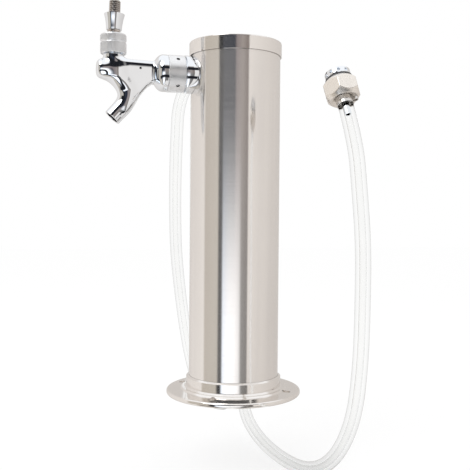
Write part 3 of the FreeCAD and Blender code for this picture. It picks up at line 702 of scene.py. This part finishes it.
# %% Shoulder and arm
def shoulder_form(from_shank, far):
    dome = np.sqrt(((far - SHOULDER_FACE) / SHOULDER_DEEP) ** 2 + (from_shank / SHOULDER_R) ** 2) - 1
    dome = np.maximum(dome * SHOULDER_DEEP, SHOULDER_FACE - far)
    barrel = round_bar(from_shank, far, SHOULDER_R, SHOULDER_BACK, 62.8, 0.4)
    tail = round_bar(from_shank, far, TAIL_R, TAIL_END, 60.0)
    return np.minimum(np.minimum(dome, barrel), tail)


def arm_form(x, far, z):
    up = z - SHANK_Z
    wider = ARM_WIDENS * np.clip(far - 68, -4, 30)
    top = 0.9 * (up / 9.2) ** 2 * (up > 0)
    foot = 1.0 * np.clip(-up / 30, 0, 1)
    half = ARM_HALF + wider - top - foot
    return both_hold(np.abs(x) - half, to_outline(far, z, ARM_OUTLINE), ARM_EDGE)


print("arm's outline has", len(ARM_OUTLINE), "corners")

# %% [markdown]
# The beer comes through the shank, past the valve and down the spout. A slot lets
# the lever's finger reach the valve, the head is bored for the lever's ball, and a
# small vent lets air in so that the spout drains.

# %% Passages in the faucet
def hollow(body, x, far, z, from_shank):
    """Takes out the beer's passage and the lever's room."""
    from_head = np.hypot(x, far - HEAD_FAR)
    inlet = round_bar(from_shank, far, 5.1, 52.0, 61.0)
    throat = round_bar(from_shank, far, 3.4, 60.0, 66.0)
    valve_bore = round_bar(from_shank, far, 4.65, 65.5, 109.3)
    ball_room = round_bar(from_head, z, 6.95, 282.9, 292.0)
    finger_room = round_bar(from_head, z, 6.3, 268.0, 284.0)
    slot = np.maximum(np.abs(x) - 3.05, np.maximum(np.abs(z - 270.5) - 5.2, np.abs(far - 99.8) - 5.9))
    vent = np.maximum(np.hypot(far - VENT_FAR, z - VENT_Z) - VENT_R, 1.0 - x)
    run_through = [(92.3, 246.5)] + SPOUT_CORNERS[-2:] + [(110.8, 223.0)]
    bore = np.sqrt(to_line(far, z, run_through) ** 2 + x * x) - SPOUT_BORE_R
    for room in (inlet, throat, valve_bore, ball_room, finger_room, slot, vent, bore):
        body = np.maximum(body, -room)
    return body


print("spout's wall:", round(SPOUT_R - SPOUT_BORE_R, 2), "mm")

# %% [markdown]
# The forms are joined one by one, each with a fillet of its own. The crown that
# carries the bonnet stays crisp, because it is machined after casting, and the
# spout is cut off square at its mouth.

# %% Faucet body
def faucet_field(x, y, z):
    """How far a point is from the faucet's surface, less than zero inside it."""
    far = -y
    from_shank = np.hypot(x, z - SHANK_Z)
    from_head = np.hypot(x, far - HEAD_FAR)
    head = round_bar(from_head, z, HEAD_R, HEAD_FOOT, HEAD_TOP, 1.0)
    crown = round_bar(from_head, z, CROWN_R, CROWN_FOOT, CROWN_TOP, 0.3)
    nose = round_bar(np.hypot(x, z - NOSE_Z), far, NOSE_R, NOSE_BACK, NOSE_FRONT, 3.4)
    spout = np.sqrt(to_line(far, z, spout_line) ** 2 + x * x) - SPOUT_R
    past_mouth = (far - SPOUT_CORNERS[-1][0]) * spout_aim[0] + (z - SPOUT_CORNERS[-1][1]) * spout_aim[1]
    body = soft_join(arm_form(x, far, z), soft_join(head, nose, NOSE_FILLET), ARM_FILLET)
    body = soft_join(body, spout, ARM_FILLET)
    body = soft_join(body, shoulder_form(from_shank, far), SHOULDER_FILLET)
    body = np.maximum(np.minimum(body, crown), past_mouth)
    return hollow(body, x, far, z, from_shank)


mesh = field_mesh("cast_faucet", faucet_field, (-16.3, -117.5, 221.5), (16.3, -53.9, 291.5), 0.5)
cast_faucet = add("cast_faucet", mesh, "tower", "chrome_plate")
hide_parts("faucet_body")
print("faucet body is", [round(v * 1000) for v in cast_faucet.dimensions], "mm")

# %% [markdown]
# Many of the tower's pieces come off a lathe, so they are made as a lathe makes
# them: an outline of radius and distance is turned round an axis. Every corner of
# the outline is eased first, because a sharp edge would catch no light.

# %% Turned pieces
TURNED_SIDES = 96


def eased(outline, radius, steps=3):
    """The closed outline with each corner rounded."""
    points = []
    for i, corner in enumerate(outline):
        here = Vector(corner)
        before, after = Vector(outline[i - 1]) - here, Vector(outline[(i + 1) % len(outline)]) - here
        if here.x == 0 or before.angle(after) > math.radians(165):
            points.append(here)
            continue
        one = here + before.normalized() * min(radius, before.length * 0.4)
        two = here + after.normalized() * min(radius, after.length * 0.4)
        for k in range(steps + 1):
            t = k / steps
            points.append(one * (1 - t) ** 2 + here * 2 * t * (1 - t) + two * t * t)
    return points


def turn_into(mesh, outline, base, axis, sides):
    """Adds a closed outline, turned round an axis, to a bmesh. Sizes are in millimetres."""
    out = axis.orthogonal().normalized()
    other = axis.cross(out)
    rings = []
    for k in range(sides):
        angle = 2 * math.pi * k / sides
        spoke = out * math.cos(angle) + other * math.sin(angle)
        rings.append([mesh.verts.new((base + spoke * r + axis * far) * MM) for r, far in outline])
    for one, two in zip(rings, rings[1:] + rings[:1]):
        for k in range(len(outline)):
            n = (k + 1) % len(outline)
            if outline[k][0] or outline[n][0]:
                mesh.faces.new((one[k], one[n], two[n], two[k]))


def turned_mesh(name, outline, base, axis):
    """A mesh of one outline turned round an axis."""
    mesh = bmesh.new()
    turn_into(mesh, outline, base, axis, TURNED_SIDES)
    bmesh.ops.remove_doubles(mesh, verts=mesh.verts, dist=1e-7)
    bmesh.ops.recalc_face_normals(mesh, faces=mesh.faces)
    return finished(name, mesh)


print("an eased square has", len(eased([(1, 0), (2, 0), (2, 1), (1, 1)], 0.1)), "points")

# %% [markdown]
# The ferrule is a flared collar that the handle seats on. Its side is slightly
# hollow, so its reflections narrow towards the foot.

# %% Flared ferrule
BALL_Z = 290.0
BALL = Vector((0, -HEAD_FAR, BALL_Z))
LEAN = Vector((0, 0.0349, 0.99939)).normalized()
FERRULE_TOP = 24.1
ferrule_outline = [
    (4.75, 11.1), (6.25, 11.1), (6.4, 13.6), (6.7, 16.4), (7.35, 20.2), (8.3, 24.0),
    (8.3, FERRULE_TOP), (4.75, FERRULE_TOP),
]
ferrule_mesh = turned_mesh("flared_ferrule", eased(ferrule_outline, 0.5), BALL, LEAN)
flared_ferrule = add("flared_ferrule", ferrule_mesh, "ferrule", "chrome_plate")
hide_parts("lever_ferrule")
print("ferrule faces:", len(flared_ferrule.data.polygons))

# %% [markdown]
# The stem ends in a 3/8 inch stud with 16 turns to the inch. A ring of fins would
# look like a thread from afar only, so this one is a real helix: each point's
# radius depends on its height less its share of a turn.

# %% Thread of the stud
PITCH = 25.4 / 16
CREST_R = 4.76
THREAD_DEEP = 0.7
THREAD_FOOT, STUD_END = FERRULE_TOP, 35.0
THREAD_SIDES, ROWS_A_TURN = 64, 12


def thread_radius(height, share):
    """The stud's radius at a height, a share of a turn round."""
    place = (height / PITCH - share) % 1
    flank = min(abs(place - 0.5) / 0.4, 1.0)
    radius = CREST_R - THREAD_DEEP * max(flank - 0.2, 0) / 0.8
    return min(radius, CREST_R - 0.1 - max(height - STUD_END + 0.75, 0))


def add_thread(mesh):
    """Adds the stud to a bmesh, with how deep each corner lies in the thread."""
    root_shade = mesh.verts.layers.float.new("root_shade")
    out = Vector((1, 0, 0))
    other = LEAN.cross(out).normalized()
    rows = int((STUD_END - THREAD_FOOT) / PITCH * ROWS_A_TURN)
    rings = []
    for i in range(rows + 1):
        height = THREAD_FOOT - 0.4 + (STUD_END - THREAD_FOOT + 0.4) * i / rows
        ring = []
        for k in range(THREAD_SIDES):
            angle = 2 * math.pi * k / THREAD_SIDES
            spoke = out * math.cos(angle) - other * math.sin(angle)
            radius = thread_radius(height, k / THREAD_SIDES)
            corner = mesh.verts.new((BALL + spoke * radius + LEAN * height) * MM)
            # How deep a corner lies is kept as the mask of the painted shade in the roots.
            corner[root_shade] = max(0.0, min(1.0, (CREST_R - radius) / THREAD_DEEP)) * 0.9
            ring.append(corner)
        rings.append(ring)
    for one, two in zip(rings, rings[1:]):
        for k in range(THREAD_SIDES):
            n = (k + 1) % THREAD_SIDES
            mesh.faces.new((one[k], one[n], two[n], two[k]))
    mesh.faces.new(rings[-1])
    mesh.faces.new(rings[0][::-1])


print("turns of thread:", round((STUD_END - THREAD_FOOT) / PITCH, 1))

# %% [markdown]
# The lever is a ball with a stem above it and a finger below. All of that is turned
# round the lever's own leaning axis, and the thread is added on top.

# %% Threaded lever
BALL_R = 6.8


def arc(radius, start, end, steps):
    """Points on a half circle's stretch, as (radius, distance along the axis)."""
    turns = [math.radians(start + (end - start) * i / steps) for i in range(steps + 1)]
    return [(radius * math.cos(turn), radius * math.sin(turn)) for turn in turns]


mesh = bmesh.new()
stem = [
    (4.3, 5.7), (4.2, 6.4), (4.2, 10.07), (5.2, 10.1), (5.2, 11.05), (4.7, 11.07),
    (4.7, THREAD_FOOT), (0.0, THREAD_FOOT),
]
finger = [(0.0, -23.0), (1.3, -23.0), (1.7, -22.5), (1.7, -5.0), (0.0, -5.0)]
turn_into(mesh, [(0.0, -BALL_R)] + arc(BALL_R, -85, 48, 22) + stem, BALL, LEAN, 64)
turn_into(mesh, finger, BALL, LEAN, 32)
bmesh.ops.remove_doubles(mesh, verts=mesh.verts, dist=1e-7)
add_thread(mesh)
bmesh.ops.recalc_face_normals(mesh, faces=mesh.faces)
threaded_lever = add("threaded_lever", finished("threaded_lever", mesh), "lever_arm", "stud_steel")
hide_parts("lever")
print("lever faces:", len(threaded_lever.data.polygons))

# %% [markdown]
# The bonnet holds the lever's ball down. Its shell is turned, with a round groove
# that parts two knurled bands.

# %% Bonnet shell
bonnet_outline = [
    (9.35, 282.05), (10.0, 282.05), (10.35, 282.5), (10.35, 290.7), (9.95, 290.95), (9.75, 291.5),
    (9.95, 292.05), (10.35, 292.3), (10.35, 296.7), (10.1, 297.5), (9.1, 298.0), (8.25, 298.0),
    (6.3, 293.25), (9.35, 293.25),
]
bonnet_mesh = turned_mesh("bonnet_shell", eased(bonnet_outline, 0.25), Vector((0, -HEAD_FAR, 0)), UP)
bonnet_shell = add("bonnet_shell", bonnet_mesh, "bonnet_ring", "satin_nickel")
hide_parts("bonnet")
print("bonnet shell faces:", len(bonnet_shell.data.polygons))

# %% [markdown]
# The bonnet's grip is a straight knurl, which is one rib many times over. Geometry
# Nodes make a rib by carrying a small circle up a line, and place one on every point
# of a larger circle.

# %% Knurl tree
RIB_SIZES = ("Ribs", "Ring radius", "Rib radius", "Foot height", "Rib length")


def knurl_inputs(tree):
    """The tree's named sizes, and its one result."""
    tree.interface.new_socket("Ribs", in_out="INPUT", socket_type="NodeSocketInt")
    for size in RIB_SIZES[1:]:
        tree.interface.new_socket(size, in_out="INPUT", socket_type="NodeSocketFloat")
    tree.interface.new_socket("Geometry", in_out="OUTPUT", socket_type="NodeSocketGeometry")


def knurl_tree(material):
    """Ribs round a circle, which stands in front of the column at the head's axis."""
    tree = bpy.data.node_groups.new("knurl", "GeometryNodeTree")
    knurl_inputs(tree)
    make = tree.nodes.new
    link = tree.links.new
    given = make("NodeGroupInput")
    circle = make("GeometryNodeMeshCircle")
    link(given.outputs["Ribs"], circle.inputs["Vertices"])
    link(given.outputs["Ring radius"], circle.inputs["Radius"])
    line = make("GeometryNodeCurvePrimitiveLine")
    top = make("ShaderNodeCombineXYZ")
    link(given.outputs["Rib length"], top.inputs["Z"])
    link(top.outputs["Vector"], line.inputs["End"])
    section = make("GeometryNodeCurvePrimitiveCircle")
    section.inputs["Resolution"].default_value = 8
    link(given.outputs["Rib radius"], section.inputs["Radius"])
    rib = make("GeometryNodeCurveToMesh")
    rib.inputs["Fill Caps"].default_value = True
    link(line.outputs["Curve"], rib.inputs["Curve"])
    link(section.outputs["Curve"], rib.inputs["Profile Curve"])
    repeat = make("GeometryNodeInstanceOnPoints")
    link(circle.outputs["Mesh"], repeat.inputs["Points"])
    link(rib.outputs["Mesh"], repeat.inputs["Instance"])
    lift = make("GeometryNodeTransform")
    where = make("ShaderNodeCombineXYZ")
    where.inputs["Y"].default_value = -HEAD_FAR * MM
    link(given.outputs["Foot height"], where.inputs["Z"])
    link(where.outputs["Vector"], lift.inputs["Translation"])
    link(repeat.outputs["Instances"], lift.inputs["Geometry"])
    real = make("GeometryNodeRealizeInstances")
    smooth = make("GeometryNodeSetShadeSmooth")
    paint = make("GeometryNodeSetMaterial")
    paint.inputs["Material"].default_value = material
    out = make("NodeGroupOutput")
    for one, two in ((lift, real), (real, smooth), (smooth, paint), (paint, out)):
        link(one.outputs["Geometry"], two.inputs["Geometry"])
    print("knurl tree: nodes", len(tree.nodes))
    return tree


# %% [markdown]
# The same tree makes both bands, one below the bonnet's groove and one above it.
# Each result is kept as a plain mesh, because the modifier that made it is removed.

# %% Knurled bands
RIBS = 60
RIB_RING_R, RIB_R = 10.2, 0.38


def knurled_band(name, tree, sizes):
    """Runs the tree with these sizes and keeps the result as a plain mesh."""
    holder = bpy.data.objects.new(name + "_maker", bpy.data.meshes.new(name))
    bpy.context.scene.collection.objects.link(holder)
    modifier = holder.modifiers.new("knurl", "NODES")
    modifier.node_group = tree
    sockets = {item.name: item.identifier for item in tree.interface.items_tree if item.in_out == "INPUT"}
    for size, value in sizes.items():
        modifier[sockets[size]] = value
    graph = bpy.context.evaluated_depsgraph_get()
    mesh = bpy.data.meshes.new_from_object(holder.evaluated_get(graph), depsgraph=graph)
    holder.modifiers.clear()
    bpy.data.objects.remove(holder)
    mesh.set_sharp_from_angle(angle=math.radians(60))
    return add(name, mesh, "bonnet_ring", "satin_nickel")


tree = knurl_tree(satin)
for name, foot, long in (("knurl_low", 282.6, 7.9), ("knurl_high", 292.5, 4.1)):
    sizes = dict(zip(RIB_SIZES, (RIBS, RIB_RING_R * MM, RIB_R * MM, foot * MM, long * MM)))
    knurl = knurled_band(name, tree, sizes)
    print(name, "faces:", len(knurl.data.polygons))

# %% [markdown]
# The coupler's crown and the shank's collar keep the CAD model's exact shape, but
# their edges are broken here. A copy of each CAD mesh is merged, its flat faces are
# joined, and then every sharp edge gets a narrow bevel.

# %% Broken edges
SHARP = math.radians(30)


def broken_edges(name, node, width, body, slot):
    """A copy of a CAD piece with a narrow bevel on every sharp edge."""
    mesh = bmesh.new()
    mesh.from_mesh(nodes[node].data)
    bmesh.ops.remove_doubles(mesh, verts=mesh.verts, dist=1e-6)
    bmesh.ops.dissolve_limit(mesh, angle_limit=math.radians(1), verts=mesh.verts, edges=mesh.edges)
    sharp = [edge for edge in mesh.edges if edge.is_manifold and edge.calc_face_angle() > SHARP]
    bmesh.ops.bevel(
        mesh, geom=sharp, offset=width * MM, segments=2, profile=0.5, affect="EDGES", clamp_overlap=True)
    piece = add(name, finished(name, mesh), body, slot)
    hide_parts(node)
    print(name, "edges broken:", len(sharp))
    return piece


coupler_crown = broken_edges("coupler_crown", "hose_crown", 0.2, "tower", "chrome_plate")
broken_edges("bright_collar", "shank_collar", 0.25, "tower", "chrome_plate")

# %% [markdown]
# The coupler nut is a hexagon whose corners are turned down hard at both ends, so
# its flats end in arcs, and a wide countersink opens towards the hose. Those forms
# are cut by a cone from a prism, which a field does in two lines. The nut's axis
# goes on from the last run of the beer line.

# %% Coupler nut's axes and sizes
def unit(vector):
    return vector / np.linalg.norm(vector)


LINE_END = np.array(ROUTE[-1]) / MM
LINE_AIM = unit(np.array(ROUTE[-1]) - np.array(ROUTE[-2]))
CORNER_AIM = unit(np.cross(LINE_AIM, (1, 0, 0)))
FLAT_AIM = np.cross(LINE_AIM, CORNER_AIM)
HEX_HALF, HEX_CONE_R = 11.9, 10.3
HEX_FOOT, HEX_TOP = -1.6, 14.4
HEX_THREAD_R, HEX_HOLE_R = 10.2, 4.35
SINK_R, SINK_DEEP = 9.0, 3.3
print("coupler nut across its flats:", 2 * HEX_HALF, "mm")

# %% [markdown]
# A cone's field is its radius less its slope, scaled back to a true distance, so that
# the rounding where it meets a flat has the same width all along the arc.

# %% Coupler nut
CONE_RISE, CONE_TRUE = 0.85, 0.76
SINK_RISE, SINK_TRUE = 1.45, 0.57


def hex_field(x, y, z):
    """How far a point is from the coupler nut's surface, less than zero inside it."""
    x, y, z = x - LINE_END[0], y - LINE_END[1], z - LINE_END[2]
    along, one, two = (x * aim[0] + y * aim[1] + z * aim[2] for aim in (LINE_AIM, CORNER_AIM, FLAT_AIM))
    from_axis = np.hypot(one, two)
    flats = np.abs(two)
    for turned_by in (60, 120):
        turn = math.radians(turned_by)
        flats = -soft_join(-flats, -np.abs(two * math.cos(turn) + one * math.sin(turn)), 0.5)
    from_end = np.minimum(along - HEX_FOOT, HEX_TOP - along)
    cone = (from_axis - HEX_CONE_R - CONE_RISE * from_end) * CONE_TRUE
    body = -soft_join(-(flats - HEX_HALF), -cone, 0.4)
    body = np.maximum(body, -from_end)
    thread = round_bar(from_axis, along, HEX_THREAD_R, HEX_FOOT + 4.4, HEX_TOP + 2.4)
    hole = round_bar(from_axis, along, HEX_HOLE_R, HEX_FOOT - 1.6, HEX_FOOT + 5.4)
    sink = (from_axis - SINK_R + (along - HEX_FOOT) * SINK_RISE) * SINK_TRUE
    for room in (thread, hole, np.maximum(sink, along - HEX_FOOT - SINK_DEEP)):
        body = np.maximum(body, -room)
    return body


nut_middle = LINE_END + LINE_AIM * (HEX_FOOT + HEX_TOP) / 2
mesh = field_mesh("coupler_hex", hex_field, nut_middle - 17.3, nut_middle + 17.3, 0.4)
coupler_hex = add("coupler_hex", mesh, "line_nut", "satin_nickel")
mesh.materials[0] = warm
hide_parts("hose_nut")
print("coupler nut stands", HEX_TOP, "mm past the end of the line")

# %% [markdown]
# The pieces on the beer line's end are listed together. The line leaves the tower
# through the hole in the flange, and the keg's coupler holds its nut up.

# %% Pieces on the line's end
END_PIECES = [nodes[name] for name in ("hose_clamp", "hose_tailpiece", "hose_washer")]
END_PIECES += [coupler_hex, coupler_crown]
print("pieces on the line's end:", len(END_PIECES))

# %% [markdown]
# The studio is a white sweep with a shaded side where the camera stands. Polished
# metal shows both, so for reflections the world is painted by direction. Two ramps
# hold the colours round the horizon, one above it and one below, in degrees from the
# camera's own side. A ramp is counted from 0 to 1, so each angle becomes a share.

# %% Colours round the horizon
PALE = (0.91, 0.87, 0.835)
SHADE = (0.56, 0.51, 0.45)
NIGHT = (0.008, 0.008, 0.010)
DUSK = (0.022, 0.028, 0.045)
BACK = (0.64, 0.61, 0.585)
SIDES = [(-180, BACK), (-130, (0.84, 0.80, 0.77)), (-84, PALE), (-79, SHADE), (-43, (0.60, 0.56, 0.50))]
HIGH = SIDES + [
    (-39, NIGHT), (-32, NIGHT), (-27, (0.04, 0.045, 0.06)), (-1, DUSK), (4, (0.26, 0.22, 0.22)),
    (19, (0.36, 0.32, 0.30)), (30, (0.24, 0.20, 0.18)), (33, (0.20, 0.16, 0.15)), (35, PALE),
    (60, (0.86, 0.82, 0.785)), (128, (0.73, 0.69, 0.66)), (180, BACK),
]
LOW = SIDES + [
    (-39, NIGHT), (-32, NIGHT), (-28, (1.25, 1.35, 1.5)), (-12, (1.5, 1.52, 1.56)),
    (2, (1.45, 1.45, 1.48)), (12, (1.15, 1.15, 1.17)), (18, (0.27, 0.265, 0.26)),
    (33, (0.18, 0.17, 0.16)), (35, PALE), (60, (0.84, 0.80, 0.765)), (128, (0.68, 0.64, 0.61)), (180, BACK),
]


def colours_round(tree, stops, factor):
    """A ramp of colours by angle, from behind round to behind again."""
    node = tree.nodes.new("ShaderNodeValToRGB")
    for i, (angle, colour) in enumerate(stops):
        place = 0.5 + angle / 360
        if i < 2:
            stop = node.color_ramp.elements[i]
            stop.position = place
        else:
            stop = node.color_ramp.elements.new(place)
        stop.color = (*colour, 1)
    tree.links.new(factor, node.inputs["Fac"])
    return node.outputs["Color"]


print("colours round the horizon:", len(HIGH), "above", len(LOW), "below")

# %% [markdown]
# The heading of a direction is its angle round the column, turned so that the camera
# is in the middle. Below the horizon the brighter ramp takes over with a soft step.

# %% Walls of the studio
HORIZON = (-0.20, 0.17)


def between(tree, value, start, end):
    """0 below the start, 1 above the end, and a soft step between."""
    node = tree.nodes.new("ShaderNodeMapRange")
    node.interpolation_type = "SMOOTHSTEP"
    node.inputs["From Min"].default_value = start
    node.inputs["From Max"].default_value = end
    tree.links.new(value, node.inputs["Value"])
    return node.outputs["Result"]


world = bpy.data.worlds.new("studio")
bpy.context.scene.world = world
world.use_nodes = True
tree = world.node_tree
tree.nodes.clear()
place = tree.nodes.new("ShaderNodeTexCoord")
rotate = tree.nodes.new("ShaderNodeMapping")
rotate.inputs["Rotation"].default_value = (0, 0, -CAMERA_TURN)
split = tree.nodes.new("ShaderNodeSeparateXYZ")
feed(tree, rotate.inputs["Vector"], place.outputs["Generated"])
feed(tree, split.inputs["Vector"], rotate.outputs["Vector"])
height = split.outputs["Z"]
heading = maths(tree, "ARCTAN2", split.outputs["Y"], split.outputs["X"])
heading = maths(tree, "MULTIPLY_ADD", heading, 1 / (2 * math.pi), 0.5)
above = between(tree, height, *HORIZON)
walls = mixed(tree, above, colours_round(tree, LOW, heading), colours_round(tree, HIGH, heading))
print("walls: nodes", len(tree.nodes))

# %% [markdown]
# Chrome looks like chrome only when it has something black to show. Two dark flags
# hang on the camera's side, one raised and one lowered, and a white ceiling lies
# over everything.

# %% Flags and ceiling
FLAG = (0.015, 0.016, 0.02)
RAISED = ((0.30, 0.37), (0.56, 0.64))
LOWERED = ((-0.62, -0.50), (-0.32, -0.26))
NEAR_SIDE = (0.15, 0.19)
CEILING = (1.05, 1.05, 1.06)
CEILING_FROM = (0.62, 0.72)


def within(tree, value, start, end):
    """1 between two soft steps, and 0 on both sides of them."""
    return maths(tree, "MULTIPLY", between(tree, value, *start), below(tree, value, *end))


def below(tree, value, start, end):
    return maths(tree, "SUBTRACT", 1.0, between(tree, value, start, end))


raised = within(tree, height, *RAISED)
lowered = within(tree, height, *LOWERED)
from_middle = maths(tree, "ABSOLUTE", maths(tree, "SUBTRACT", heading, 0.5))
near_side = below(tree, from_middle, *NEAR_SIDE)
flags = maths(tree, "MULTIPLY", maths(tree, "MAXIMUM", raised, lowered), near_side)
walls = mixed(tree, flags, walls, FLAG)
lit = mixed(tree, between(tree, height, *CEILING_FROM), walls, CEILING)
print("walls, flags and ceiling: nodes", len(tree.nodes))

# %% [markdown]
# Only reflections see the painted studio. Light that falls on dull surfaces is plain
# white, and so is what the camera sees behind the tower and through its clear hose.

# %% World
WHITE = (1.0, 1.0, 1.0)


def shine(tree, colour):
    node = tree.nodes.new("ShaderNodeBackground")
    feed(tree, node.inputs["Color"], colour)
    return node.outputs["Background"]


def choose(tree, factor, one, two):
    """One shader where the factor is 0, the other where it is 1."""
    node = tree.nodes.new("ShaderNodeMixShader")
    for socket, value in zip(node.inputs, (factor, one, two)):
        feed(tree, socket, value)
    return node.outputs["Shader"]


def seen_straight(tree):
    """1 for what the camera sees, itself or through the clear hose."""
    ray = tree.nodes.new("ShaderNodeLightPath")
    return maths(tree, "MAXIMUM", ray.outputs["Is Camera Ray"], ray.outputs["Is Transmission Ray"])


ray = tree.nodes.new("ShaderNodeLightPath")
lighting = choose(tree, ray.outputs["Is Glossy Ray"], shine(tree, WHITE), shine(tree, lit))
background = choose(tree, seen_straight(tree), lighting, shine(tree, WHITE))
output = tree.nodes.new("ShaderNodeOutputWorld")
feed(tree, output.inputs["Surface"], background)
print("world nodes:", len(tree.nodes))

# %% [markdown]
# The floor is plain and pale. For the camera it is mostly a white of its own, with
# a share of the light that really falls on it, so the white runs out to the edges
# of the picture and the tower still has its faint shadow.

# %% Floor
FLOOR_Z = -0.0625
FLOOR_HALF = 4.0
OWN_WHITE_SHARE = 0.8

mesh = bpy.data.meshes.new("floor")
corners = [(x * FLOOR_HALF, y * FLOOR_HALF, FLOOR_Z) for x, y in ((-1, -1), (1, -1), (1, 1), (-1, 1))]
mesh.from_pydata(corners, [], [(0, 1, 2, 3)])
floor = bpy.data.objects.new("floor", mesh)
bpy.context.scene.collection.objects.link(floor)
floor_white, tree, shader = finish("floor_white", (0.97, 0.97, 0.97), 0.0, 0.9, Specular_IOR_Level=0.0)
own_white = tree.nodes.new("ShaderNodeEmission")
own_white.inputs["Color"].default_value = (*WHITE, 1)
share = maths(tree, "MULTIPLY", seen_straight(tree), OWN_WHITE_SHARE)
surface = choose(tree, share, shader.outputs["BSDF"], own_white.outputs["Emission"])
feed(tree, tree.nodes["Material Output"].inputs["Surface"], surface)
mesh.materials.append(floor_white)
floor.visible_glossy = False
print("floor at", FLOOR_Z)

# %% [markdown]
# One large soft lamp stands high on the faucet's side of the camera. It gives the
# metal a broad highlight and the floor its shadow.

# %% Soft lamp
LAMP_PLACE = Vector((0.5, -0.9, 1.3))
LAMP_AIM = Vector((0, 0, 0.15))

light = bpy.data.lights.new("softbox", "AREA")
light.shape = "DISK"
light.size = 0.9
light.energy = 6
lamp = bpy.data.objects.new("softbox", light)
lamp.location = LAMP_PLACE
lamp.rotation_euler = (LAMP_AIM - LAMP_PLACE).to_track_quat("-Z", "Y").to_euler()
bpy.context.scene.collection.objects.link(lamp)
print("lamp energy:", light.energy)
